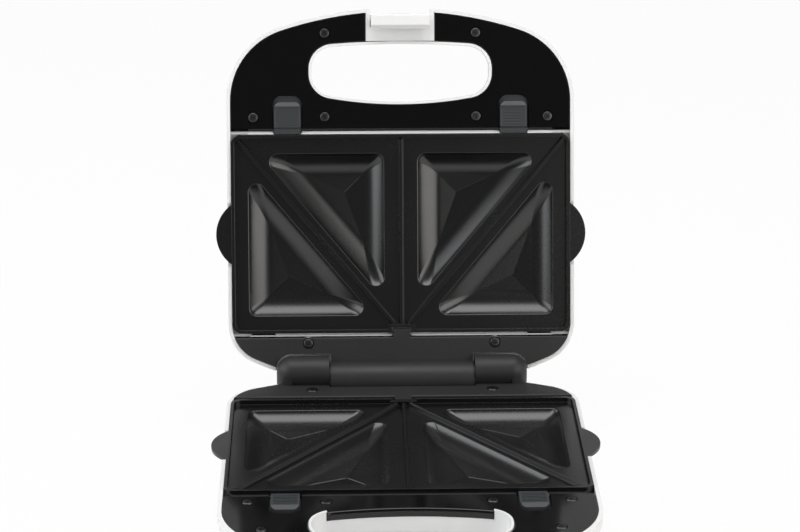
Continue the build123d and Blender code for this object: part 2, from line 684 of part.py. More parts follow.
def base_shell():
    """The base's casing: hinge seat, catch, cord hole, vents and foot holes."""
    boss = gland_bar(GLAND_FLANGE_R + 5 * FIT, -2 * GLAND_LENGTH, 0)
    shell = casing(sides(BASE_SCREWS), boss)
    shell -= both_sides(tower(FIT)) + knuckles(FIT)
    reach = KNUCKLE_IN + TROUGH_T + FIT
    shell -= bar_x(TROUGH_R + FIT, -reach, reach, HINGE_Y, HINGE_Z)
    shell -= block(-reach, reach, HINGE_Y, BODY_REAR_Y + 1, RELIEF_Z, 0)
    low = PLATE_GAP - CLIP_REACH_Z - CATCH_ROOM
    shell -= catch_notch(CATCH_FRONT_Y, low)
    under = PLATE_GAP - CLIP_NOSE_Z + CATCH_GAP
    half = CLIP_NOTCH_HALF
    shell -= block(
        -half, half, CATCH_FRONT_Y - 1, CLIP_NOSE_Y + CATCH_ROOM, low, under
    )
    shell -= flange_band(FIT)
    shell -= gland_bar(GLAND_R, -3 * GLAND_LENGTH, GLAND_LENGTH)
    shell -= gland_bar(GLAND_FLANGE_R + FIT, 0, GLAND_LENGTH)
    shell -= vents()
    for x, y in foot_places():
        shell -= post(FOOT_STEM_R, x, y, -BODY_H - 1, FLOOR_Z + 1)
    return shell


# ------------------------------------------------------------ covers
def cover_slab(edge, top):
    """Cover sheet over the casing's plan, cut off at a line across it."""
    sheet = plan(WALL + FIT)
    reach = 2 * BODY_W
    side = 1 if edge > 0 else -1
    sheet &= Pos(0, edge + side * reach / 2) * Rectangle(reach, reach)
    return slab(sheet, top - COVER_T, top)


def bevelled(cover, size):
    """A cover with its upper edges bevelled."""
    return chamfer(cover.edges().group_by(Axis.Z)[-1], size)


def screw_seats(screws):
    """Counterbored holes for the screws of a cover."""
    seats = Part()
    for x, y in screws:
        seat = cover_z(y) - SCREW_SEAT_DEPTH
        seats += post(SCREW_SEAT_R, x, y, seat, seat + COVER_T)
        seats += post(SCREW_SHANK_R + SCREW_FIT, x, y, -BODY_H, seat + COVER_T)
    return seats


def front_cover(grip_screw, flange=None):
    """Cover of the handle end: opening, latch slots and a gap for the block."""
    cover = cover_slab(FRONT_COVER_Y, COVER_Z)
    cover -= slab(grip_plan(), -BODY_H, 0)
    gap = CLIP_BLOCK_HALF + FIT
    cover -= block(-gap, gap, BODY_FRONT_Y, (GRIP_FRONT_Y + GRIP_REAR_Y) / 2, -BODY_H, 0)
    half = LATCH_W / 2 + LATCH_GAP
    slot = Pos(LATCH_X, FRONT_COVER_Y) * Rectangle(
        2 * half, 2 * (FRONT_COVER_Y - LATCH_SLOT_Y)
    )
    slot = fillet(slot.vertices(), LATCH_SLOT_R)
    slot += Pos(LATCH_X, FRONT_COVER_Y) * Rectangle(2 * half, 2 * LATCH_SLOT_R)
    cover -= both_sides(slab(slot, -BODY_H, 0))
    if flange:
        cover += flange
        cover = fillet(flange_rim(cover), FLANGE_R)
    top = cover.edges().filter_by(lambda e: lies_at(e, COVER_Z))
    along_plate = top.filter_by(lambda e: e.center().Y > FRONT_COVER_Y - FIT)
    cover = chamfer(along_plate, COVER_REAR_EDGE)
    top = cover.edges().filter_by(lambda e: lies_at(e, COVER_Z))
    rest = top.filter_by(lambda e: e.center().Y < FRONT_COVER_Y - 2 * COVER_REAR_EDGE)
    cover = chamfer(rest, COVER_EDGE)
    return cover - screw_seats(sides(FRONT_SCREWS + (grip_screw,)))


def lies_at(edge, z):
    """Whether an edge lies flat at a height."""
    box = edge.bounding_box()
    return abs(box.min.Z - z) < FIT / 2 and abs(box.max.Z - z) < FIT / 2


def flange_rim(cover):
    """Edge of the base cover over its flange, along the opening."""
    top = cover.edges().filter_by(lambda e: lies_at(e, COVER_Z))
    inner = GRIP_REAR_Y - FLANGE_T + FIT / 2
    return top.filter_by(lambda e: inner - FLANGE_T < e.center().Y < inner)


def flange_band(grow=0.0):
    """Downward flange of the base cover along the opening's rear edge."""
    band = grip_plan(-grow - FIT / 2) - grip_plan(FLANGE_T + grow)
    reach = 2 * GRIP_CORNER_R
    wide = FLANGE_W + 2 * grow
    band &= Pos(0, GRIP_REAR_Y) * Rectangle(wide, reach)
    return slab(band, COVER_Z - FLANGE_DEPTH - grow, COVER_Z + grow)


def lid_front_cover():
    """Black cover of the lid's handle end."""
    return front_cover(LID_GRIP_SCREW)


def base_front_cover():
    """Black cover of the base's handle end, with its flange."""
    return front_cover(BASE_GRIP_SCREW, flange_band())


def locating_tab():
    """Tongue of a hinge cover that stands in the plate's rear notch."""
    half = NOTCH_W / 2 - LATCH_GAP
    return block(
        -half, half, PLATE_D / 2 - NOTCH_D + LATCH_GAP, HINGE_COVER_Y + 1,
        HINGE_COVER_UNDER, HINGE_COVER_Z,
    )


def hinge_pin():
    """Steel pin of the hinge."""
    pin = bar_x(PIN_R, -PIN_HALF, PIN_HALF, HINGE_Y, HINGE_Z)
    return chamfer(pin.edges().filter_by(GeomType.CIRCLE), PIN_R / 5)


def radial(angle, radius):
    """Y and Z of a point about the hinge axis, from straight down to the back."""
    return (
        HINGE_Y + radius * sin(radians(angle)),
        HINGE_Z - radius * cos(radians(angle)),
    )


def sector(inner, outer, start, end):
    """Part of a ring about the hinge axis, drawn in Y and Z."""
    ring = Pos(HINGE_Y, HINGE_Z) * (Circle(outer) - Circle(inner))
    far = 4 * outer
    middle = (start + end) / 2
    wedge = outline(
        [(HINGE_Y, HINGE_Z), radial(start, far), radial(middle, far), radial(end, far)]
    )
    return ring & wedge


def lid_hinge_cover():
    """Lid's rear cover with the hinge barrel, its stop ribs and the tongue."""
    cover = bevelled(cover_slab(HINGE_COVER_Y, HINGE_COVER_Z), COVER_EDGE)
    cover += locating_tab()
    cover -= knuckle_notches()
    ends = (-BARREL_HALF, BARREL_HALF)
    reach = BARREL_HALF + NOTCH_GAP_IN
    cover -= block(-reach, reach, HINGE_Y, BODY_REAR_Y, -BODY_H, 1)
    cover += bar_x(BARREL_R, *ends, HINGE_Y, HINGE_Z)
    hollow = BARREL_HALF - BARREL_END
    cover -= bar_x(BARREL_R - BARREL_WALL, -hollow, hollow, HINGE_Y, HINGE_Z)
    mouth = BARREL_R / 2
    cover -= block(
        -hollow, hollow, HINGE_Y - mouth, HINGE_Y + mouth, -2 * BARREL_R, -mouth
    )
    cover += middle_ribs()
    collar = (BARREL_HALF - 1, KNUCKLE_IN - COLLAR_GAP)
    cover += both_sides(bar_x(COLLAR_R, *collar, HINGE_Y, HINGE_Z))
    cover -= bar_x(PIN_R + PIN_FIT, -KNUCKLE_IN, KNUCKLE_IN, HINGE_Y, HINGE_Z)
    start = 180 - TROUGH_REAR_DEG - STOP_GAP_DEG - LID_OPEN_DEG
    rib = sector(BARREL_R - 1, STOP_R, start - STOP_SPAN_DEG, start)
    cover += both_sides(across(rib, STOP_X - STOP_W / 2, STOP_X + STOP_W / 2))
    return cover - screw_seats(sides((LID_HINGE_SCREW,)))


def middle_ribs():
    """Webs inside the barrel that carry the pin between its ends."""
    ribs_x = (-BARREL_HALF / 3, BARREL_HALF / 3)
    webs = Part()
    for x in ribs_x:
        webs += bar_x(
            BARREL_R - 1, x - BARREL_WALL / 2, x + BARREL_WALL / 2, HINGE_Y, HINGE_Z
        )
    return webs


def knuckle(grow=0.0):
    """The right-hand knuckle: a bar whose domed outer end stands on a half column."""
    y, z = HINGE_Y, HINGE_Z + KNUCKLE_RISE
    radius = KNUCKLE_R + grow
    bar = bar_x(radius, KNUCKLE_IN - grow, DOME_X, y, z)
    column = post(radius, DOME_X, y, TOWER_Z - grow, z)
    column &= block(DOME_X, KNUCKLE_OUT + KNUCKLE_R, 0, 2 * y, TOWER_Z - grow, z)
    return bar + Pos(DOME_X, y, z) * Sphere(radius) + column


def knuckles(grow=0.0):
    """Both knuckles, the left one turned round from the right one."""
    right = knuckle(grow)
    return right + Pos(0, 2 * HINGE_Y, 0) * Rot(0, 0, 180) * right


def tower(grow=0.0):
    """Block under the right-hand knuckle that stands in the base's back wall."""
    x0, x1 = KNUCKLE_IN - grow, DOME_X + grow
    y0, y1 = HINGE_Y - TOWER_FRONT - grow, HINGE_Y + TOWER_REAR + grow
    return block(x0, x1, y0, y1, TOWER_Z - grow, HINGE_Z + KNUCKLE_RISE)


def pin_slot():
    """Slot in the right-hand knuckle that lets the pin rise."""
    width = 2 * (PIN_R + SLOT_FIT)
    sketch = SlotOverall(HINGE_FLOAT + width, width, rotation=90)
    sketch = Pos(HINGE_Y, HINGE_Z + HINGE_FLOAT / 2) * sketch
    return across(sketch, KNUCKLE_IN - TROUGH_T, SLOT_END)


def base_hinge_cover():
    """Base's rear cover: barrel trough, hinge towers and slotted knuckles."""
    cover = bevelled(cover_slab(HINGE_COVER_Y, HINGE_COVER_Z), COVER_EDGE)
    cover += locating_tab()
    reach = KNUCKLE_IN + TROUGH_T
    cover -= block(-reach, reach, HINGE_Y, BODY_REAR_Y, HINGE_COVER_UNDER - 1, 1)
    inner = TROUGH_R - TROUGH_T
    wall = sector(inner, TROUGH_R, -90, TROUGH_REAR_DEG)
    low = Rectangle(4 * BARREL_R, 4 * BARREL_R, align=(Align.CENTER, Align.MAX))
    wall &= Pos(HINGE_Y, HINGE_COVER_Z) * low
    clear = bar_x(inner, -KNUCKLE_IN, KNUCKLE_IN, HINGE_Y, HINGE_Z)
    cover -= clear
    cover += across(wall, -reach, reach)
    cover += both_sides(tower() - tower_hollow()) + knuckles()
    cover -= clear
    cover -= both_sides(pin_slot())
    return cover - screw_seats(sides((BASE_HINGE_SCREW,)))


def tower_hollow():
    """Hollow of the right-hand tower, open at its foot."""
    x0, x1 = KNUCKLE_IN + WALL, DOME_X - WALL
    y0, y1 = HINGE_Y - TOWER_FRONT + WALL, HINGE_Y + TOWER_REAR - WALL
    return block(x0, x1, y0, y1, TOWER_Z - 1, HINGE_Z - PIN_R - SLOT_FIT - WALL)


def foot_places():
    """Centres of the four feet."""
    return sides((FRONT_FOOT, REAR_FOOT))


# ------------------------------------------------------------ plate latches
def plate_latch(side):
    """A sliding plate latch: tongue, grooved pad, thumb ledge and foot."""
    ledge_z = LATCH_PAD_Z + GROOVE_DEPTH
    profile = outline(
        [
            (LATCH_TIP_Y, LATCH_TONGUE_Z),
            (LATCH_TIP_Y, LATCH_TONGUE_Z + LATCH_TONGUE_T),
            (LATCH_PAD_Y, LATCH_TONGUE_Z + LATCH_TONGUE_T),
            (LATCH_PAD_Y - LATCH_HEEL_L / 2, LATCH_PAD_Z),
            (LATCH_LEDGE_Y, LATCH_PAD_Z),
            (LATCH_LEDGE_Y, ledge_z),
            (LATCH_LEDGE_Y - LATCH_HEEL_L / 2, ledge_z),
            (LATCH_FRONT_Y, COVER_Z),
            (LATCH_FRONT_Y, LATCH_FOOT_Z),
            (LATCH_HEEL_Y, LATCH_FOOT_Z),
            (LATCH_HEEL_Y, LATCH_TONGUE_Z),
        ]
    )
    half = LATCH_W / 2
    body = across(profile, -half, half)
    front = [
        e
        for e in body.edges().filter_by(Axis.Z)
        if e.center().Y < LATCH_FRONT_Y + 1
    ]
    body = fillet(front, LATCH_CORNER_R)
    for i in range(GROOVES):
        y = LATCH_LEDGE_Y + i * GROOVE_PITCH
        body -= block(
            2 * GROOVE_W - half, half - 2 * GROOVE_W, y, y + GROOVE_W,
            LATCH_PAD_Z - GROOVE_DEPTH, 0,
        )
    radius = LATCH_SPRING_R + 2 * SPRING_WIRE_R
    seat = Rot(90, 0, 0) * Cylinder(radius, 2 * SPRING_SEAT_DEPTH)
    body -= Pos(0, LATCH_FRONT_Y, LATCH_SPRING_Z) * seat
    tail = (-LATCH_TAIL_HALF, LATCH_TAIL_HALF, LATCH_SLOT_Y - 1, LATCH_PAD_Y)
    body += block(*tail, LATCH_TAIL_Z, LATCH_TAIL_Z + LATCH_TAIL_T)
    return Pos(side * LATCH_X, 0, 0) * body


def latch_spring(side):
    """Return spring of a plate latch, as the sleeve that its coils fill."""
    start = LATCH_FRONT_Y + SPRING_SEAT_DEPTH
    middle = (start + SPRING_STOP_Y) / 2
    sleeve = Cylinder(LATCH_SPRING_R + SPRING_WIRE_R, start - SPRING_STOP_Y)
    sleeve -= Cylinder(LATCH_SPRING_R - SPRING_WIRE_R, start - SPRING_STOP_Y)
    return Pos(side * LATCH_X, middle, LATCH_SPRING_Z) * Rot(90, 0, 0) * sleeve


# ------------------------------------------------------------ lid latch
def lid_latch():
    """Clip that swings on a pin in the handle and hooks under the base's catch."""
    profile = outline(
        [
            (CLIP_FRONT_Y, CLIP_PIVOT_Z),
            (CLIP_FRONT_Y, CLIP_REACH_Z),
            (CLIP_NOSE_Y - CLIP_BEVEL_Y, CLIP_REACH_Z),
            (CLIP_NOSE_Y, CLIP_REACH_Z - CLIP_BEVEL_Z),
            (CLIP_NOSE_Y, CLIP_NOSE_Z),
            (CLIP_BACK_Y, CLIP_NOSE_Z),
            (CLIP_BACK_Y, CLIP_PIVOT_Z),
        ]
    )
    tip = profile.vertices().filter_by(lambda v: v.Y > CLIP_NOSE_Z + CLIP_HOOK_EDGE)
    profile = fillet(tip, CLIP_HOOK_EDGE)
    body = across(profile, -CLIP_HALF, CLIP_HALF)
    body += bar_x(CLIP_BARREL_R, -CLIP_HALF, CLIP_HALF, CLIP_PIVOT_Y, CLIP_PIVOT_Z)
    gap = CLIP_SPRING_LENGTH / 2 + SPRING_WIRE_R + 2 * FIT
    skin = CLIP_FRONT_Y + CLIP_BARREL_R - CLIP_SPRING_R - 2 * SPRING_WIRE_R
    low, high = CLIP_PIVOT_Z - CLIP_BARREL_R, CLIP_PIVOT_Z + CLIP_BARREL_R
    body -= block(-gap, gap, skin, CLIP_PIVOT_Y + CLIP_BARREL_R, low - FIT, high + FIT)
    return body - bar_x(
        CLIP_PIN_R + PIN_FIT, -CLIP_HALF, CLIP_HALF, CLIP_PIVOT_Y, CLIP_PIVOT_Z
    )


def lid_latch_pin():
    """Steel pin of the lid latch."""
    reach = CLIP_NOTCH_HALF + WALL - FIT
    return bar_x(CLIP_PIN_R, -reach, reach, CLIP_PIVOT_Y, CLIP_PIVOT_Z)


def lid_latch_spring():
    """Torsion spring round the latch pin, as the sleeve that its coils fill."""
    ends = (-CLIP_SPRING_LENGTH / 2, CLIP_SPRING_LENGTH / 2)
    at = (CLIP_PIVOT_Y, CLIP_PIVOT_Z)
    outer = bar_x(CLIP_SPRING_R + SPRING_WIRE_R, *ends, *at)
    return outer - bar_x(CLIP_SPRING_R - SPRING_WIRE_R, *ends, *at)


# ------------------------------------------------------------ heating
def heating_element():
    """Tubular heater bent into a loop, with a terminal pin at each end."""
    path = FilletPolyline(
        (HEATER_END_X, HEATER_REAR_Y, HEATER_Z),
        (HEATER_X, HEATER_REAR_Y, HEATER_Z),
        (HEATER_X, HEATER_FRONT_Y, HEATER_Z),
        (-HEATER_X, HEATER_FRONT_Y, HEATER_Z),
        (-HEATER_X, HEATER_REAR_Y, HEATER_Z),
        (-HEATER_END_X, HEATER_REAR_Y, HEATER_Z),
        radius=HEATER_BEND_R,
    )
    tube = sweep(Plane(path @ 0, z_dir=path % 0) * Circle(HEATER_R), path=path)
    inner = HEATER_END_X - TERMINAL_L
    pin = bar_x(TERMINAL_R, inner, HEATER_END_X + 1, HEATER_REAR_Y, HEATER_Z)
    return tube + both_sides(pin)


def heat_reflector():
    """Pressed pan under the plate, with a flange and saddles for the heater."""
    flange = RectangleRounded(
        PLATE_W - 2 * FIT, PLATE_D - 2 * FIT, PLATE_CORNER_R
    )
    pan = slab(flange, PAN_FLANGE_Z - PAN_T, PAN_FLANGE_Z)
    pan += slab(RectangleRounded(PAN_W, PAN_D, PAN_CORNER_R), PAN_Z, PAN_FLANGE_Z)
    hollow = RectangleRounded(
        PAN_W - 2 * PAN_T, PAN_D - 2 * PAN_T, PAN_CORNER_R - PAN_T
    )
    pan -= slab(hollow, PAN_Z + PAN_T, 0)
    top = HEATER_Z - HEATER_R - PAN_SEAT
    for x, y in sides(((HEATER_X, 0), (SADDLE_X, HEATER_FRONT_Y))):
        saddle = (x - SADDLE_HALF, x + SADDLE_HALF, y - SADDLE_HALF, y + SADDLE_HALF)
        pan += block(*saddle, PAN_Z + PAN_T / 2, top)
    return pan


def thermostat():
    """Bimetal thermostat on the lid's reflector, with its two blades."""
    x, y = THERMOSTAT_AT
    low = PAN_Z - THERMOSTAT_H
    body = post(THERMOSTAT_R, x, y, low, PAN_Z)
    for side in (-1, 1):
        at = x + side * BLADE_X
        blade = (at - PAN_T / 2, at + PAN_T / 2, y - BLADE_HALF, y + BLADE_HALF)
        body += block(*blade, low - BLADE_L, low)
    return body


def thermal_fuse():
    """Thermal fuse with its leads, strapped to the lid's reflector."""
    x, y = FUSE_AT
    z = PAN_Z - FUSE_R - FIT
    fuse = bar_x(FUSE_R, x - FUSE_L / 2, x + FUSE_L / 2, y, z)
    return fuse + bar_x(FUSE_R / 4, x - FUSE_L, x + FUSE_L, y, z)


# ------------------------------------------------------------ lamps
def lamp_lens(side):
    """Domed lens of an indicator lamp, flanged on the inside of the lid."""
    x, y = side * LENS_X, LENS_Y
    ball = (LENS_R**2 + LENS_DOME**2) / (2 * LENS_DOME)
    dome = Pos(x, y, ball - LENS_DOME - BODY_H) * Sphere(ball)
    lens = post(LENS_R, x, y, -BODY_H - LENS_DOME, FLOOR_Z) & dome
    return lens + post(LENS_FLANGE_R, x, y, FLOOR_Z, FLOOR_Z + LENS_FLANGE_T)


def lamp_holder():
    """Twin cup over the two lenses, holding the neon lamps."""
    seat = FLOOR_Z + LENS_FLANGE_T
    top = seat + LAMP_L + WALL + 3 * FIT
    sketch = SlotOverall(2 * (LENS_X + LENS_FLANGE_R), 2 * LENS_FLANGE_R)
    shape = Pos(0, LENS_Y, 0) * slab(sketch, seat, top)
    for x, y in lamp_places():
        shape -= post(LAMP_R + 2 * FIT, x, y, seat - 1, top - WALL)
    return shape


def neon_lamps():
    """The two neon lamps."""
    seat = FLOOR_Z + LENS_FLANGE_T + FIT
    lamps = Part()
    for x, y in lamp_places():
        lamp = post(LAMP_R, x, y, seat, seat + LAMP_L)
        lamps += chamfer(lamp.edges().filter_by(GeomType.CIRCLE), LAMP_R / 3)
    return lamps


# ------------------------------------------------------------ base fittings
def rubber_feet():
    """The four feet, each with a stem through the base's floor."""
    feet = Part()
    for x, y in foot_places():
        pad = post(FOOT_R, x, y, -BODY_H - FOOT_H, -BODY_H)
        pad = chamfer(pad.edges().group_by(Axis.Z)[0], FOOT_H / 4)
        stem = post(FOOT_STEM_R - PIN_FIT, x, y, -BODY_H, FLOOR_Z)
        cap = post(FOOT_CAP_R, x, y, FLOOR_Z, FLOOR_Z + FOOT_CAP_T)
        feet += pad + stem + cap
    return feet


def cord_gland():
    """Rubber gland in the base's back wall, with the cord's bore."""
    flange = gland_bar(GLAND_FLANGE_R, 0, GLAND_FLANGE_T)
    flange = chamfer(flange.edges().group_by(Axis.Y)[-1], GLAND_FLANGE_T / 4)
    tube = gland_bar(GLAND_R - PIN_FIT, -GLAND_LENGTH, 0)
    return flange + tube - gland_bar(GLAND_BORE_R, -2 * GLAND_LENGTH, GLAND_LENGTH)


def terminal_block():
    """Ceramic terminal block on the base's floor."""
    w, d, h = BLOCK_SIZE
    x, y = BLOCK_AT
    body = block(x - w / 2, x + w / 2, y - d / 2, y + d / 2, FLOOR_Z, FLOOR_Z + h)
    pitch = w / BLOCK_WAYS
    for i in range(BLOCK_WAYS):
        way = x + (i - (BLOCK_WAYS - 1) / 2) * pitch
        tunnel = Rot(90, 0, 0) * Cylinder(pitch / 4, 2 * d)
        body -= Pos(way, y, FLOOR_Z + h / 2) * tunnel
        body -= post(pitch / 5, way, y, FLOOR_Z + h / 2, FLOOR_Z + h + 1)
    return body


def cover_screws(places):
    """Pan-head screws of the covers of one half."""
    screws = Part()
    for x, y in places:
        seat = cover_z(y) - SCREW_SEAT_DEPTH
        tip = cover_z(y) - COVER_T - SCREW_LENGTH + SCREW_SHANK_R
        head = post(SCREW_HEAD_R, x, y, seat, seat + SCREW_HEAD_T)
        head = chamfer(head.edges().group_by(Axis.Z)[-1], SCREW_HEAD_BEVEL)
        screws += head + post(SCREW_SHANK_R, x, y, tip, seat)
    return screws


# ------------------------------------------------------------ assembly
BASE_PLACE = Pos(0, 0, RIM_HEIGHT)
HINGE_AXIS = Pos(0, HINGE_Y, RIM_HEIGHT + HINGE_Z)
LID_CLOSED = Pos(0, 0, RIM_HEIGHT + PLATE_GAP) * Rot(0, 180, 0)
LID_PLACE = HINGE_AXIS * Rot(-LID_OPEN_DEG, 0, 0) * HINGE_AXIS.inverse() * LID_CLOSED

BASE_PARTS = {
    "base_shell": base_shell,
    "base_front_cover": base_front_cover,
    "base_hinge_cover": base_hinge_cover,
    "lower_plate": plate,
    "lower_heating_element": heating_element,
    "lower_heat_reflector": heat_reflector,
    "lower_plate_latch_left": lambda: plate_latch(-1),
    "lower_plate_latch_right": lambda: plate_latch(1),
    "lower_latch_spring_left": lambda: latch_spring(-1),
    "lower_latch_spring_right": lambda: latch_spring(1),
    "base_cover_screws": lambda: cover_screws(sides(BASE_SCREWS)),
    "hinge_pin": hinge_pin,
    "rubber_feet": rubber_feet,
    "cord_gland": cord_gland,
    "terminal_block": terminal_block,
}
# the lid half is turned over about Y, so its own +X side is the row's left
LID_PARTS = {
    "lid_shell": lid_shell,
    "lid_front_cover": lid_front_cover,
    "lid_hinge_cover": lid_hinge_cover,
    "upper_plate": plate,
    "upper_heating_element": heating_element,
    "upper_heat_reflector": heat_reflector,
    "upper_plate_latch_left": lambda: plate_latch(1),
    "upper_plate_latch_right": lambda: plate_latch(-1),
    "upper_latch_spring_left": lambda: latch_spring(1),
    "upper_latch_spring_right": lambda: latch_spring(-1),
    "lid_cover_screws": lambda: cover_screws(sides(LID_SCREWS)),
    "lid_latch": lid_latch,
    "lid_latch_pin": lid_latch_pin,
    "lid_latch_spring": lid_latch_spring,
    "thermostat": thermostat,
    "thermal_fuse": thermal_fuse,
    "power_lamp_lens": lambda: lamp_lens(1),
    "ready_lamp_lens": lambda: lamp_lens(-1),
    "lamp_holder": lamp_holder,
    "neon_lamps": neon_lamps,
}


def assemble():
    """All sub-parts in place, moved so that the origin is under their middle."""
    parts = {name: BASE_PLACE * make() for name, make in BASE_PARTS.items()}
    parts |= {name: LID_PLACE * make() for name, make in LID_PARTS.items()}
    box = Compound(list(parts.values())).bounding_box()
    to_middle = Pos(0, -(box.min.Y + box.max.Y) / 2, 0)
    return {name: to_middle * part for name, part in parts.items()}


os.makedirs("parts", exist_ok=True)
for node, part in assemble().items():
    export_step(part, f"parts/{node}.step")
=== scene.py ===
"""Looks of an open sandwich toaster, built round its packed construction.

Everything is in metres, in the frame of the construction. Each half of the
toaster also has a frame of its own, in millimetres: X to the right, Y towards
the hinge, and Z up out of the half, with Z 0 in the plane of its plate's rim.
"""

from __future__ import annotations

import json
import logging
import math
from dataclasses import dataclass, field
from enum import Enum
from typing import Any, Callable, Mapping, Sequence, Union

import bmesh
import bpy
from bmesh.types import BMesh
from bpy.types import Material, Mesh, Node, NodeSocket, NodeTree, Object
from mathutils import Matrix, Vector


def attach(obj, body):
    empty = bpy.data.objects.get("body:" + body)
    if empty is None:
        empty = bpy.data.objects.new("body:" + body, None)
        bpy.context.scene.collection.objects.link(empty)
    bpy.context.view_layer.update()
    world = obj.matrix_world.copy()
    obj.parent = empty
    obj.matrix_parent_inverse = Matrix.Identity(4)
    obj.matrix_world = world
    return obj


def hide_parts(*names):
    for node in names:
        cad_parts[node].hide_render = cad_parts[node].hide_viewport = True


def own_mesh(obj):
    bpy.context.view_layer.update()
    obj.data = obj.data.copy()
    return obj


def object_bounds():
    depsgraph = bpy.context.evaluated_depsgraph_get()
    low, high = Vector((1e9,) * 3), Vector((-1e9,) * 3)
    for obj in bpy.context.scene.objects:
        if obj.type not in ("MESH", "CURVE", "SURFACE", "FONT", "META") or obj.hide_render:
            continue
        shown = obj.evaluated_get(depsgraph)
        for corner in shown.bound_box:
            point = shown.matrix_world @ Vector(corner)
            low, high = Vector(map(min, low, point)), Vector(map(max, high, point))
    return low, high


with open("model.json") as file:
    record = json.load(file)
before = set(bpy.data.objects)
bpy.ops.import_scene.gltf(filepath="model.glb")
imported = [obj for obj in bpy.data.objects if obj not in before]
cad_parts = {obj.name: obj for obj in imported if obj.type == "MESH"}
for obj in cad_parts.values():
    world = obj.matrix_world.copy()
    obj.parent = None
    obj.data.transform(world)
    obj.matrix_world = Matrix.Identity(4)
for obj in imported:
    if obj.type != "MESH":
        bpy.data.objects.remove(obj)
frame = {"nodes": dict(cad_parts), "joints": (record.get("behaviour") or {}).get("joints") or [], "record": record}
CAD_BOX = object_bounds()

MM = 0.001
WELD = 0.002  # points of a casting nearer than this are one, in millimetres
FLAT = 0.7  # faces of a casting that turn less than this are one, in degrees
log = logging.getLogger("toaster")

Triple = tuple[float, float, float]
Colour = Triple
Place = Triple
Section = Sequence[tuple[float, float]]


class Half(Enum):
    """The two halves of the toaster, by the name of the body that carries each."""

    BASE = "base"
    LID = "lid"


class Side(Enum):
    """The two ends of a half, by the sign of X there."""

    LEFT = -1
    RIGHT = 1


# ---- node graphs


def _operator(operation: str, reflected: bool = False) -> Callable[[Signal, Operand], Signal]:
    """Makes a method of Signal that adds one Math node.

    Args:
        operation: the node's operation.
        reflected: whether the signal is the second of the two values.

    Returns:
        The method.
    """

    def method(self: Signal, other: Operand) -> Signal:
        """Returns the result of the operation on the signal and another value."""
        return self.graph.maths(operation, *((other, self) if reflected else (self, other)))

    return method


class Signal:
    """A number that varies over a surface or a mesh, with Python's operators.

    Attributes:
        graph: the graph that the number belongs to.
        socket: the output that gives it.
    """

    def __init__(self, graph: Graph, socket: NodeSocket) -> None:
        """Wraps an output of a node."""
        self.graph = graph
        self.socket = socket

    __add__ = _operator("ADD")
    __radd__ = _operator("ADD", reflected=True)
    __sub__ = _operator("SUBTRACT")
    __rsub__ = _operator("SUBTRACT", reflected=True)
    __mul__ = _operator("MULTIPLY")
    __rmul__ = _operator("MULTIPLY", reflected=True)
    __truediv__ = _operator("DIVIDE")
    __pow__ = _operator("POWER")
    __gt__ = _operator("GREATER_THAN")
    __lt__ = _operator("LESS_THAN")
    at_least = _operator("MAXIMUM")


Operand = Union[Signal, float]


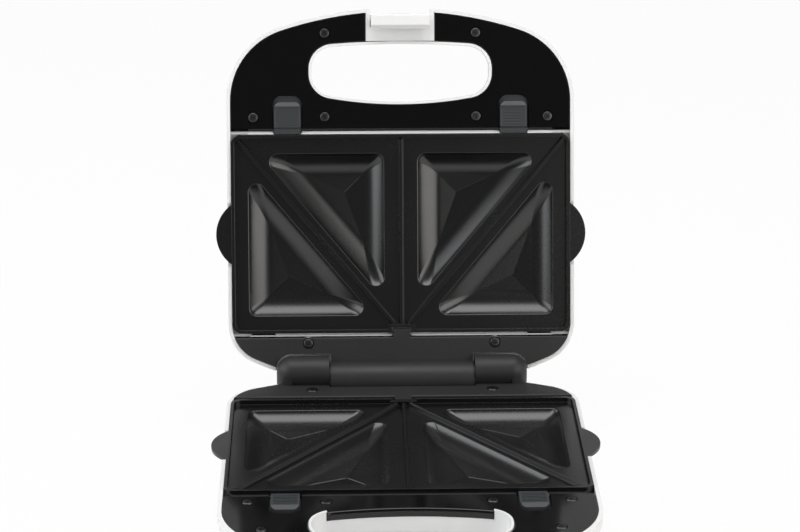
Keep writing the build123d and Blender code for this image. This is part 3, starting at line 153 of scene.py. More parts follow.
class Graph:
    """A node tree under construction, of a material, the world or a mesh."""

    def __init__(self, tree: NodeTree) -> None:
        """Starts on an empty tree."""
        self.tree = tree
        tree.nodes.clear()

    def add(
        self,
        kind: str,
        settings: Mapping[str, Any] | None = None,
        sockets: Mapping[Any, Any] | None = None,
    ) -> Node:
        """Adds one node.

        Args:
            kind: the node's type, such as ShaderNodeMath.
            settings: its own settings, which come first.
            sockets: a value, Signal or output for each input, by name or index.

        Returns:
            The node.
        """
        node = self.tree.nodes.new(kind)
        for name, value in (settings or {}).items():
            setattr(node, name, value)
        for key, value in (sockets or {}).items():
            self.feed(node.inputs[key], value)
        return node

    def out(self, kind: str, sockets: Mapping[Any, Any], **settings: Any) -> Any:
        """Returns the first output of a node that it adds, as add() does."""
        return self.add(kind, settings, sockets).outputs[0]

    def end(self, kind: str, surface: Any) -> None:
        """Ends the tree in an output node with a surface."""
        self.add(kind, None, {"Surface": surface})

    def feed(self, socket: NodeSocket, value: Any) -> None:
        """Links an input, or else sets its value.

        Args:
            socket: the input.
            value: a Signal or an output that it is linked to, or its value.
        """
        if isinstance(value, Signal):
            value = value.socket
        if isinstance(value, NodeSocket):
            self.tree.links.new(value, socket)
        else:
            socket.default_value = value

    def maths(self, operation: str, *values: Operand) -> Signal:
        """Returns the result of one Math node."""
        result = self.out("ShaderNodeMath", dict(enumerate(values)), operation=operation)
        return Signal(self, result)

    def ramp(self, value: Operand, low: float, high: float) -> Signal:
        """Steps from 0 to 1 with eased ends.

        Args:
            value: what the step follows.
            low: where it starts.
            high: where it ends.

        Returns:
            0 under low, 1 over high and the step between them.
        """
        sockets = {0: value, 1: low, 2: high, 3: 0.0, 4: 1.0}
        eased = self.out("ShaderNodeMapRange", sockets, interpolation_type="SMOOTHSTEP")
        return Signal(self, eased)

    def blend(self, share: Operand, first: Any, second: Any) -> NodeSocket:
        """Returns first mixed towards second, both colours, by share."""
        node = self.add("ShaderNodeMix", {"data_type": "RGBA"}, {0: share, 6: first, 7: second})
        return node.outputs[2]

    def parts(self, vector: Any) -> list[Signal]:
        """Returns the three numbers of a vector."""
        node = self.add("ShaderNodeSeparateXYZ", None, {0: vector})
        return [Signal(self, output) for output in node.outputs]

    def ray(self, kind: str) -> Signal:
        """Returns 1 for the rays of a kind, and 0 for the others."""
        return Signal(self, self.add("ShaderNodeLightPath").outputs[f"Is {kind} Ray"])

    def noise(
        self, where: Any, per_metre: float, detail: float = 2.0, rough: float = 0.5
    ) -> Signal:
        """Spreads smooth noise.

        Args:
            where: the place on the surface, in metres.
            per_metre: how many features lie in a metre.
            detail: how many finer layers it has.
            rough: how strong those are.

        Returns:
            The noise, from 0 to 1.
        """
        sockets = {"Vector": where, "Scale": per_metre, "Detail": detail, "Roughness": rough}
        return Signal(self, self.out("ShaderNodeTexNoise", sockets))

    def specks(self, where: Any, per_metre: float, size: float) -> Signal:
        """Scatters specks.

        Args:
            where: the place on the surface, in metres.
            per_metre: how many specks lie in a metre.
            size: their radius as a share of their spacing.

        Returns:
            1 in the specks and 0 elsewhere.
        """
        cells = self.add("ShaderNodeTexVoronoi", None, {"Vector": where, "Scale": per_metre})
        return Signal(self, cells.outputs["Distance"]) < size

    def stretched(self, where: Any, stretch: Sequence[float]) -> NodeSocket:
        """Returns the place with each axis scaled, for a pattern that runs one way."""
        return self.out("ShaderNodeMapping", {"Vector": where, "Scale": stretch})

    def bump(self, height: Signal, depth: float, under: Any = None) -> NodeSocket:
        """Turns a height into the normal of the surface.

        Args:
            height: the height, from 0 to 1.
            depth: how far 1 is above 0, in millimetres.
            under: another bump's normal that this one is added to.

        Returns:
            The output that gives the normal.
        """
        sockets = {"Height": height, "Distance": depth * MM, "Strength": 1.0}
        if under is not None:
            sockets["Normal"] = under
        return self.out("ShaderNodeBump", sockets)


def new_material(name: str) -> tuple[Material, Graph]:
    """Starts a material.

    Args:
        name: its name.

    Returns:
        The material and its empty graph.
    """
    made = bpy.data.materials.new(name)
    made.use_nodes = True
    return made, Graph(made.node_tree)


# ---- finishes


def rgba(colour: Colour) -> tuple[float, float, float, float]:
    """Returns a colour with full alpha."""
    return (*colour, 1.0)


def scaled(colour: Colour, share: float) -> tuple[float, float, float, float]:
    """Returns a lighter or darker colour with full alpha."""
    return rgba(tuple(min(1.0, part * share) for part in colour))


@dataclass(frozen=True)
class Finish:
    """What every finish has, and a plain surface with no pattern.

    Attributes:
        slot: the record's material slot.
        colour: its middle colour.
        roughness: its middle roughness.
        metallic: 1 for bare metal.
        specular: the share of a plain plastic's reflection, times a half.
        coat: the weight of a clear layer.
        transmission: the share of light that passes through.
    """

    slot: str
    colour: Colour
    roughness: float
    metallic: float = 0.0
    specular: float = 0.5
    coat: float = 0.0
    transmission: float = 0.0

    def material(self) -> Material:
        """Builds the finish's material the first time.

        Returns:
            The material.
        """
        name = f"finish_{self.slot}"
        if name in bpy.data.materials:
            return bpy.data.materials[name]
        made, graph = new_material(name)
        shader = graph.add(
            "ShaderNodeBsdfPrincipled",
            None,
            {
                "Base Color": rgba(self.colour),
                "Roughness": self.roughness,
                "Metallic": self.metallic,
                "Specular IOR Level": self.specular,
                "Coat Weight": self.coat,
                "Transmission Weight": self.transmission,
            },
        )
        where = graph.add("ShaderNodeTexCoord").outputs["Object"]
        for name, value in self.pattern(graph, where).items():
            graph.feed(shader.inputs[name], value)
        graph.end("ShaderNodeOutputMaterial", shader.outputs[0])
        return made

    def pattern(self, graph: Graph, where: Any) -> Mapping[str, Any]:
        """Adds what varies over the surface.

        Args:
            graph: the material's graph.
            where: the place on the object, in metres.

        Returns:
            What feeds each of the shader's inputs, by name.
        """
        return {}

    def toned(self, graph: Graph, share: Operand, low: float, high: float) -> NodeSocket:
        """Returns low times the colour where share is 0, high times it where share is 1."""
        return graph.blend(share, scaled(self.colour, low), scaled(self.colour, high))


@dataclass(frozen=True)
class GlossMoulding(Finish):
    """A polished plastic moulding: a faint long wave, hairlines and a little haze.

    Attributes:
        wave: how deep the mould's long wave is, in millimetres.
        hairlines: how much rougher a fine wiping mark is.
        haze: how much the roughness drifts.
        peel: the depth of its orange peel, as a share of the wave's.
    """

    wave: float = 0.02
    hairlines: float = 0.05
    haze: float = 0.04
    peel: float = 0.1

    def pattern(self, graph: Graph, where: Any) -> Mapping[str, Any]:
        """Returns the wave, the hairlines, the haze and a slight drift of colour."""
        drift = graph.noise(where, 14.0, 3.0)
        wiped = graph.noise(graph.stretched(where, (1.0, 0.16, 0.4)), 900.0, 2.0)
        marks = graph.ramp(wiped, 0.62, 0.74) * graph.ramp(graph.noise(where, 30.0), 0.45, 0.7)
        peel = graph.bump(graph.noise(where, 420.0, 1.0), self.wave * self.peel)
        return {
            "Roughness": self.roughness + marks * self.hairlines + (drift - 0.5) * self.haze,
            "Base Color": self.toned(graph, drift, 0.97, 1.03),
            "Normal": graph.bump(graph.noise(where, 26.0, 1.0), self.wave, peel),
        }


@dataclass(frozen=True)
class SparkMoulding(Finish):
    """A plastic moulding out of a spark-eroded mould: an even fine grain.

    Attributes:
        grain: the grain's depth in millimetres.
        grains: how many grains lie in a metre.
    """

    grain: float = 0.03
    grains: float = 1500.0

    def pattern(self, graph: Graph, where: Any) -> Mapping[str, Any]:
        """Returns the grain, and the rubbed patches where it is a little smoother."""
        grain = graph.noise(where, self.grains, 3.0, 0.6)
        rubbed = graph.ramp(graph.noise(where, 22.0, 3.0), 0.45, 0.75)
        return {
            "Roughness": self.roughness - rubbed * 0.07 + (grain - 0.5) * 0.1,
            "Base Color": self.toned(graph, graph.ramp(grain, 0.3, 0.75), 0.86, 1.22),
            "Normal": graph.bump(grain, self.grain),
        }


@dataclass(frozen=True)
class SprayedCoating(Finish):
    """A baked non-stick coating on cast metal.

    Attributes:
        peel: the depth of its orange peel in millimetres.
        casting: the depth of the casting's long wave under it.
    """

    peel: float = 0.001
    casting: float = 0.014

    def pattern(self, graph: Graph, where: Any) -> Mapping[str, Any]:
        """Returns the peel, mineral flecks, and patches that wiping has polished."""
        peel = graph.noise(where, 850.0, 2.0)
        wave = graph.noise(where, 60.0, 2.0)
        wiped = graph.ramp(graph.noise(where, 16.0, 4.0), 0.4, 0.7)
        fleck = graph.specks(where, 2600.0, 0.16)
        tone = self.toned(graph, wiped, 0.9, 1.15)
        return {
            "Roughness": self.roughness - wiped * 0.03 + (peel - 0.5) * 0.03,
            "Base Color": graph.blend(fleck * 0.3, tone, scaled(self.colour, 2.0)),
            "Normal": graph.bump(peel, self.peel, graph.bump(wave, self.casting)),
        }


@dataclass(frozen=True)
class WorkedMetal(Finish):
    """Bare metal with the lines of its rolling, drawing or grinding.

    Attributes:
        metallic: 1, because it is bare metal.
        stretch: how short the lines are along each axis.
        tint: the colour where the surface has oxidised.
        tinted: how much of it has.
        depth: the lines' depth in millimetres.
    """

    metallic: float = 1.0
    stretch: Triple = (0.03, 1.0, 1.0)
    tint: Colour = (0.5, 0.5, 0.5)
    tinted: float = 0.3
    depth: float = 0.004

    def pattern(self, graph: Graph, where: Any) -> Mapping[str, Any]:
        """Returns the lines and the oxidised patches."""
        lines = graph.noise(graph.stretched(where, self.stretch), 2600.0, 3.0, 0.6)
        patch = graph.ramp(graph.noise(where, 55.0, 4.0), 0.35, 0.7)
        return {
            "Roughness": self.roughness + (lines - 0.5) * 0.2 + patch * 0.06,
            "Base Color": graph.blend(patch * self.tinted, rgba(self.colour), rgba(self.tint)),
            "Normal": graph.bump(lines, self.depth),
        }


@dataclass(frozen=True)
class SoftRubber(Finish):
    """Moulded rubber with a dry bloom on it.

    Attributes:
        grain: the depth of its fine grain in millimetres.
    """

    grain: float = 0.012

    def pattern(self, graph: Graph, where: Any) -> Mapping[str, Any]:
        """Returns the bloom and the grain."""
        bloom = graph.ramp(graph.noise(where, 70.0, 4.0), 0.4, 0.75)
        return {
            "Roughness": self.roughness + bloom * 0.12,
            "Base Color": self.toned(graph, bloom * 0.5, 1.0, 2.2),
            "Normal": graph.bump(graph.noise(where, 2200.0, 2.0), self.grain),
        }


@dataclass(frozen=True)
class GlazedCeramic(Finish):
    """Fired ceramic with a thin glaze and a few iron specks.

    Attributes:
        ripple: the depth of the glaze's ripple in millimetres.
    """

    ripple: float = 0.03

    def pattern(self, graph: Graph, where: Any) -> Mapping[str, Any]:
        """Returns the specks and the glaze's ripple."""
        return {
            "Base Color": self.toned(graph, graph.specks(where, 420.0, 0.07) * 0.6, 1.0, 0.3),
            "Normal": graph.bump(graph.noise(where, 180.0, 2.0), self.ripple),
        }


@dataclass(frozen=True)
class ClearMoulding(Finish):
    """Clear or tinted plastic or glass with a faint internal cloud.

    Attributes:
        ripple: the depth of its surface's ripple in millimetres.
    """

    ripple: float = 0.01

    def pattern(self, graph: Graph, where: Any) -> Mapping[str, Any]:
        """Returns the cloud and a little surface ripple."""
        cloud = graph.noise(where, 260.0, 3.0)
        return {
            "Base Color": self.toned(graph, cloud, 0.85, 1.1),
            "Normal": graph.bump(cloud, self.ripple),
        }


WHITE_GLOSS = GlossMoulding("white_gloss", (0.86, 0.86, 0.855), 0.22, coat=0.25, wave=0.015)
DEEP_BLACK = (0.0024, 0.0025, 0.0028)
BLACK_GLOSS = GlossMoulding("black_gloss", DEEP_BLACK, 0.1, specular=0.45, wave=0.012)
CHARCOAL = SparkMoulding(
    "charcoal_matte", (0.021, 0.021, 0.0215), 0.5, specular=0.4, grain=0.016
)
SLATE = SparkMoulding("slate_matte", (0.04, 0.045, 0.048), 0.5, specular=0.45, grain=0.018)
NONSTICK = SprayedCoating("nonstick_coating", (0.0034, 0.0034, 0.0035), 0.27, specular=0.8)
HEATER_STEEL = WorkedMetal(
    "heater_steel", (0.33, 0.32, 0.3), 0.42, tint=(0.2, 0.14, 0.1), tinted=0.6
)
ALUMINIUM = WorkedMetal("bare_aluminium", (0.75, 0.75, 0.76), 0.3, tint=(0.6, 0.6, 0.6))
BRIGHT_STEEL = WorkedMetal("bright_steel", (0.6, 0.6, 0.6), 0.24, stretch=(1.0, 0.08, 0.08))
SPRING_STEEL = WorkedMetal("spring_steel", (0.42, 0.42, 0.42), 0.3, tint=(0.3, 0.27, 0.24))
SCREW_STEEL = WorkedMetal(
    "screw_steel", (0.1, 0.1, 0.1), 0.34, tint=(0.05, 0.05, 0.055), tinted=0.6
)
RUBBER = SoftRubber("black_rubber", (0.012, 0.012, 0.012), 0.7, specular=0.35)
CERAMIC = GlazedCeramic("ceramic", (0.72, 0.69, 0.6), 0.3)
RED_LENS = ClearMoulding("red_lens", (0.55, 0.015, 0.012), 0.16, transmission=0.35)
GREEN_LENS = ClearMoulding("green_lens", (0.02, 0.34, 0.05), 0.16, transmission=0.35)
LAMP_GLASS = ClearMoulding("lamp_glass", (0.95, 0.9, 0.85), 0.05, transmission=0.95)
FINISHES = (
    WHITE_GLOSS, BLACK_GLOSS, CHARCOAL, SLATE, NONSTICK, HEATER_STEEL, ALUMINIUM, BRIGHT_STEEL,
    SPRING_STEEL, SCREW_STEEL, RUBBER, CERAMIC, RED_LENS, GREEN_LENS, LAMP_GLASS,
)  # fmt: skip


# ---- places


@dataclass(frozen=True)
class HalfFrames:
    """Where each half lies in the construction's frame.

    Attributes:
        hinge_y: the hinge axis from a half's origin, towards the back, in millimetres.
        hinge_z: the hinge axis above the rim plane of a half.
    """

    hinge_y: float = 96.3
    hinge_z: float = 0.5

    def matrix(self, half: Half) -> Matrix:
        """Places a half.

        Args:
            half: the half.

        Returns:
            The matrix from its millimetres to the construction's metres.
        """
        joint = next(j for j in frame["joints"] if j["name"] == "lid_hinge")
        to_hinge = Matrix.Translation((0.0, -self.hinge_y, -self.hinge_z))
        turn = Matrix.Identity(4)
        if half is Half.LID:
            opened = math.radians(joint["range_deg"][0])
            turn = Matrix.Rotation(opened, 4, "X") @ Matrix.Rotation(math.pi, 4, "Y")
        return Matrix.Translation(joint["pos_m"]) @ turn @ Matrix.Scale(MM, 4) @ to_hinge


FRAMES = HalfFrames()


def dress_node(node: str, finish: Finish) -> None:
    """Gives a node of the construction its finish and reports it.

    Args:
        node: the node's name.
        finish: its finish.
    """
    piece = frame["nodes"][node]
    for slot in piece.material_slots:
        slot.material = finish.material()
    log.info("node %s in %s", node, finish.slot)


def added(name: str, data: Any) -> Object:
    """Adds an object to the scene.

    Args:
        name: its name.
        data: the mesh, lamp or camera in it.

    Returns:
        The object.
    """
    obj = bpy.data.objects.new(name, data)
    bpy.context.scene.collection.objects.link(obj)
    return obj


def evaluated(obj: Object) -> Mesh:
    """Applies an object's modifiers and removes the object.

    Args:
        obj: the object.

    Returns:
        The mesh that it showed.
    """
    depsgraph = bpy.context.evaluated_depsgraph_get()
    mesh = bpy.data.meshes.new_from_object(obj.evaluated_get(depsgraph))
    bpy.data.objects.remove(obj)
    return mesh


def carved(body: Object, *tools: tuple[str, Mesh]) -> Mesh:
    """Adds solids to an object or cuts them from it.

    Args:
        body: the object, which is removed. Its own modifiers come first.
        tools: each operation's name and its solid, in order.

    Returns:
        The mesh that is left.
    """
    benched = []
    for operation, solid in tools:
        boolean = body.modifiers.new("tool", "BOOLEAN")
        boolean.operation = operation
        boolean.solver = "EXACT"
        boolean.object = added("tool", solid)
        benched.append(boolean.object)
    mesh = evaluated(body)
    for tool in benched:
        bpy.data.objects.remove(tool)
    return mesh


def shaded(mesh: Mesh) -> Mesh:
    """Makes large faces look flat up to the sharp edges.

    Args:
        mesh: the mesh.

    Returns:
        The mesh with its normals weighted.
    """
    obj = added("shaded", mesh)
    obj.modifiers.new("shading", "WEIGHTED_NORMAL").keep_sharp = True
    return evaluated(obj)


def baked(work: BMesh, name: str) -> Mesh:
    """Ends the work on a mesh, with its faces turned outwards.

    Args:
        work: the mesh under work.
        name: its name.

    Returns:
        The mesh.
    """
    bmesh.ops.recalc_face_normals(work, faces=work.faces)
    mesh = bpy.data.meshes.new(name)
    work.to_mesh(mesh)
    work.free()
    return mesh


def skin(work: BMesh, rings: Sequence[Sequence[Any]], closed: bool = False) -> None:
    """Adds the faces between rings of corners.

    Args:
        work: the mesh under work.
        rings: the corners of each ring, as many in each.
        closed: whether the last ring joins the first one.
    """
    for first, second in zip(rings, [*rings[1:], rings[0]] if closed else rings[1:]):
        for k in range(len(first)):
            after = (k + 1) % len(first)
            work.faces.new((first[k], first[after], second[after], second[k]))


@dataclass(frozen=True)
class Piece:
    """A detailed piece that stands for a node of the construction.

    Attributes:
        name: the piece's name.
        node: the node that it stands for.
        half: the half whose frame it is made in.
        finish: its finish.
    """

    name: str
    node: str
    half: Half
    finish: Finish

    def place(self, mesh: Mesh) -> Object:
        """Puts the piece in the scene and reports it.

        Args:
            mesh: its mesh, in its half's millimetres.

        Returns:
            The piece.
        """
        mesh.transform(FRAMES.matrix(self.half))
        mesh.materials.clear()
        mesh.materials.append(self.finish.material())
        piece = added(self.name, mesh)
        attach(piece, self.half.value)
        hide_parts(self.node)
        log.info("piece %s for %s: %d faces", self.name, self.node, len(mesh.polygons))
        return piece

    def casting(self) -> Mesh:
        """Copies the construction's mesh and makes its faces whole.

        Returns:
            The mesh in its half's frame.
        """
        mesh = frame["nodes"][self.node].data.copy()
        mesh.transform(FRAMES.matrix(self.half).inverted())
        work = bmesh.new()
        work.from_mesh(mesh)
        bmesh.ops.remove_doubles(work, verts=work.verts, dist=WELD)
        flat = math.radians(FLAT)
        bmesh.ops.dissolve_limit(
            work, angle_limit=flat, verts=work.verts, edges=work.edges, delimit=set()
        )
        work.to_mesh(mesh)
        work.free()
        return mesh


# ---- plates


@dataclass(frozen=True)
class Pocket:
    """A sandwich pocket: a rounded right triangle whose walls ease into three floors.

    Thin beads run along the lines where the floors meet.

    Attributes:
        leg_x: its side across the plate, in millimetres.
        leg_y: its side from the front to the back.
        corner: the radius of its corners at the field.
        depth: its deepest point below the field.
        wall: the wall's steepest slope, in degrees.
        floor: the slope of the floors.
        lip: the radius of the rounded lip.
        ease: how far from the mouth the walls have eased into the floors.
        turn: how quickly the wall leaves its steepest slope, as a share of the ease.
        turned: how much of the slope goes in that quick turn.
        bend: the power by which the rest of the slope falls off.
        bead_width: half the width of a bead.
        bead_rise: its height.
        grading: the power that sets the ease's steps closer near the mouth.
        run_in: how far inside the ease the floors' beads have reached their full size.
        steps: segments in a corner, and in the ease.
        lip_steps: segments in the lip.
        overlap: how far the cut and the plug pass through the field.
        headroom: how far the cutting solid stands over the field.
        plug_shift: how far the plug reaches past the pocket.
    """

    leg_x: float = 82.0
    leg_y: float = 97.6
    corner: float = 5.5
    depth: float = 8.4
    wall: float = 64.0
    floor: float = 5.6
    lip: float = 0.8
    ease: float = 14.0
    turn: float = 0.05
    turned: float = 0.28
    bend: float = 1.2
    bead_width: float = 0.45
    bead_rise: float = 0.3
    grading: float = 1.5
    run_in: float = 2.0
    steps: int = 16
    lip_steps: int = 5
    overlap: float = 0.02
    headroom: float = 1.0
    plug_shift: float = 0.8

    @property
    def inradius(self) -> float:
        """The deepest point's distance from each wall."""
        return (self.leg_x + self.leg_y - math.hypot(self.leg_x, self.leg_y)) / 2

    def slope(self, inside: float) -> float:
        """Gives the slope of the wall.

        Args:
            inside: the distance inside the mouth.

        Returns:
            The slope's tangent there.
        """
        part = min(1.0, max(0.0, inside / self.ease))
        quick = self.turned * math.exp(-part / self.turn)
        share = quick + (1.0 - self.turned) * (1.0 - part) ** self.bend
        return math.tan(math.radians(self.floor + (self.wall - self.floor) * share))

    def profile(self) -> Section:
        """Draws the section.

        Returns:
            Its (distance inside the mouth, depth) pairs, from the field down.
        """
        wall = math.radians(self.wall)
        start = self.lip * math.tan(wall / 2)
        section = [(-start - self.overlap, -self.overlap)]
        for step in range(1, self.lip_steps + 1):
            turn = wall * step / self.lip_steps
            inside = self.lip * math.sin(turn) - start
            section.append((inside, self.lip * (1.0 - math.cos(turn))))
        first = section[-1][0]
        for step in range(1, self.steps + 1):
            inside = first + (self.ease - first) * (step / self.steps) ** self.grading
            before, depth = section[-1]
            middle = self.slope((inside + before) / 2)
            section.append((inside, depth + (inside - before) * middle))
        edge, depth = section[-1]
        last = self.inradius - 1.5 * self.bead_width
        floor = (self.depth - depth) / (self.inradius - edge)
        for inside in (self.ease + self.run_in, last):
            section.append((inside, depth + (inside - edge) * floor))
        return [*section, (self.inradius, self.depth)]

    def outline(self, inside: float) -> list[Place]:
        """Rounds the triangle at a distance inside the mouth.

        Args:
            inside: the distance, which is under 0 outside the mouth.

        Returns:
            Its points across the plate, and how far each is raised.
        """
        middle = Vector((self.inradius, self.inradius))
        slant = math.atan2(self.leg_x, self.leg_y)
        corners = (
            (Vector((0.0, 0.0)), math.pi, 1.5 * math.pi),
            (Vector((self.leg_x, 0.0)), 1.5 * math.pi, 2.0 * math.pi + slant),
            (Vector((0.0, self.leg_y)), slant, math.pi),
        )
        radius = self.corner - inside
        if inside > 0:
            radius = self.corner * max(0.0, 1.0 - inside / self.ease)
        grown = min(1.0, max(0.0, (inside - self.ease) / self.run_in))
        points = []
        for corner, start, end in corners:
            centre = middle + (corner - middle) * (1.0 - (inside + radius) / self.inradius)
            for step in range(self.steps + 1):
                turn = start + (end - start) * step / self.steps
                point = centre + radius * Vector((math.cos(turn), math.sin(turn)))
                aside = (step > self.steps // 2) - (step < self.steps // 2)
                edge = end if aside > 0 else start
                along = Vector((-math.sin(edge), math.cos(edge))) * aside
                point += along * grown * min(self.bead_width, self.inradius - inside)
                points.append((point.x, point.y, 0.0 if aside else grown * self.bead_rise))
        return points

    def cutter(self) -> Section:
        """Returns the section of the solid that cuts the pocket out."""
        section = self.profile()
        return [(section[0][0], -self.headroom), *section]

    def plug(self) -> Section:
        """Draws the section of the solid that first fills the construction's pocket.

        Returns:
            Its (distance inside the mouth, depth) pairs.
        """
        section = self.profile()
        mouth = section[0][0] + 2 * self.overlap
        shift = self.plug_shift
        deep = [
            (max(inside - shift, mouth), depth + shift)
            for inside, depth in section
            if depth > shift
        ]
        return [(mouth, self.overlap), *deep[:-1], (self.inradius, self.depth + shift)]


@dataclass(frozen=True)
class CookingPlate:
    """A cast plate with four sandwich pockets, ribs, rim and tabs.

    Attributes:
        piece: the plate's name and place.
        field_z: the field's height over the rim plane, in millimetres.
        corners: where each right-angled corner is and which way its sides run.
        pocket: the shape of a pocket.
        rounding: the radius of the casting's edges.
        rounding_steps: segments in it.
        crease: the angle from which an edge shows as a line, in degrees.
        floor_crease: the same for the beads of the floors.
        floor_slope: the steepest that the beads' faces are.
        solid_weld: points of the pockets' solids nearer than this are one, in millimetres.
        cut_weld: the same for the cut plate.
    """

    piece: Piece
    field_z: float = -3.3
    corners: tuple[tuple[float, float, int, int], ...] = (
        (11.3, -53.3, 1, 1),
        (-11.3, -53.3, -1, 1),
        (101.2, 54.6, -1, -1),
        (-101.2, 54.6, 1, -1),
    )
    pocket: Pocket = Pocket()
    rounding: float = 0.6
    rounding_steps: int = 3
    crease: float = 38.0
    floor_crease: float = 12.0
    floor_slope: float = 42.0
    solid_weld: float = 1e-4
    cut_weld: float = 0.001

    def build(self) -> None:
        """Makes the plate from the construction's, with its pockets cut anew."""
        body = added("plate", self.piece.casting())
        bevel = body.modifiers.new("edges", "BEVEL")
        bevel.width = self.rounding
        bevel.segments = self.rounding_steps
        bevel.limit_method = "ANGLE"
        bevel.angle_limit = math.radians(self.crease)
        plug = self._pockets(self.pocket.plug())
        cutter = self._pockets(self.pocket.cutter())
        cast = carved(body, ("UNION", plug), ("DIFFERENCE", cutter))
        self._crease(cast)
        self.piece.place(shaded(cast))

    def _pockets(self, section: Section) -> Mesh:
        """Makes a closed solid in each pocket's place.

        Args:
            section: the (distance inside the mouth, depth) pairs of its side.

        Returns:
            The four solids in one mesh.
        """
        work = bmesh.new()
        for x, y, way_x, way_y in self.corners:
            rings = []
            for inside, depth in section:
                z = self.field_z - depth
                ring = self.pocket.outline(inside)
                points = [(x + way_x * u, y + way_y * v, z + up) for u, v, up in ring]
                rings.append([work.verts.new(point) for point in points])
            skin(work, rings)
            work.faces.new(rings[0])
        bmesh.ops.remove_doubles(work, verts=work.verts, dist=self.solid_weld)
        bmesh.ops.dissolve_degenerate(work, edges=work.edges, dist=self.solid_weld)
        return baked(work, "pockets")

    def _crease(self, mesh: Mesh) -> None:
        """Smooths a casting's shading, except along its sharp edges and its beads.

        Args:
            mesh: the casting's mesh.
        """
        work = bmesh.new()
        work.from_mesh(mesh)
        bmesh.ops.remove_doubles(work, verts=work.verts, dist=self.cut_weld)
        bmesh.ops.dissolve_degenerate(work, edges=work.edges, dist=self.cut_weld)
        flat = math.cos(math.radians(self.floor_slope))
        for face in work.faces:
            face.smooth = True
        for edge in work.edges:
            turn = math.degrees(edge.calc_face_angle(0.0))
            shallow = all(face.normal.z > flat for face in edge.link_faces)
            edge.smooth = not (turn > self.crease or (shallow and turn > self.floor_crease))
        work.to_mesh(mesh)
        work.free()


# ---- base casing


@dataclass(frozen=True)
class BaseCasing:
    """The base casing, whose collar ends where the cover's flange hangs over it.

    Attributes:
        piece: the casing's name and place.
        arc_radius: the radius of the handle opening's rear edge, in millimetres.
        arc_y: where that edge is at the middle.
        inner: how far the cut reaches into the opening.
        outer: how far it reaches under the cover.
        half_width: half the flange's width, with its fit.
        low: the bottom of the cut, from the rim plane, where its top is.
        steps: segments along the cut.
        crease: the angle from which an edge shows as a line, in degrees.
    """

    piece: Piece
    arc_radius: float = 268.0
    arc_y: float = -85.7
    inner: float = 2.6
    outer: float = 0.3
    half_width: float = 50.2
    low: float = -3.0
    steps: int = 24
    crease: float = 28.0

    def build(self) -> None:
        """Makes the casing from the construction's."""
        cut = carved(added("casing", self.piece.casting()), ("DIFFERENCE", self._band()))
        if "custom_normal" in cut.attributes:
            cut.attributes.remove(cut.attributes["custom_normal"])
        cut.polygons.foreach_set("use_smooth", [True] * len(cut.polygons))
        cut.set_sharp_from_angle(angle=math.radians(self.crease))
        self.piece.place(shaded(cut))

    def _band(self) -> Mesh:
        """Makes the curved band that the cut removes.

        Returns:
            The band, a closed solid.
        """
        work = bmesh.new()
        rings = []
        reach = math.asin(self.half_width / self.arc_radius)
        inner, outer = self.arc_radius - self.inner, self.arc_radius + self.outer
        corners = ((inner, self.low), (outer, self.low), (outer, 0.0), (inner, 0.0))
        for step in range(self.steps + 1):
            turn = reach * (2.0 * step / self.steps - 1.0)
            ring = []
            for radius, z in corners:
                y = self.arc_y - self.arc_radius + radius * math.cos(turn)
                ring.append(work.verts.new((radius * math.sin(turn), y, z)))
            rings.append(ring)
        skin(work, rings)
        work.faces.new(rings[0])
        work.faces.new(rings[-1])
        return baked(work, "band")


# ---- what repeats: geometry nodes


def sizes_of(maker: Any, *names: str) -> dict[str, float]:
    """Returns some sizes of a dataclass, each with its name as a label."""
    return {name.replace("_", " ").capitalize(): getattr(maker, name) for name in names}


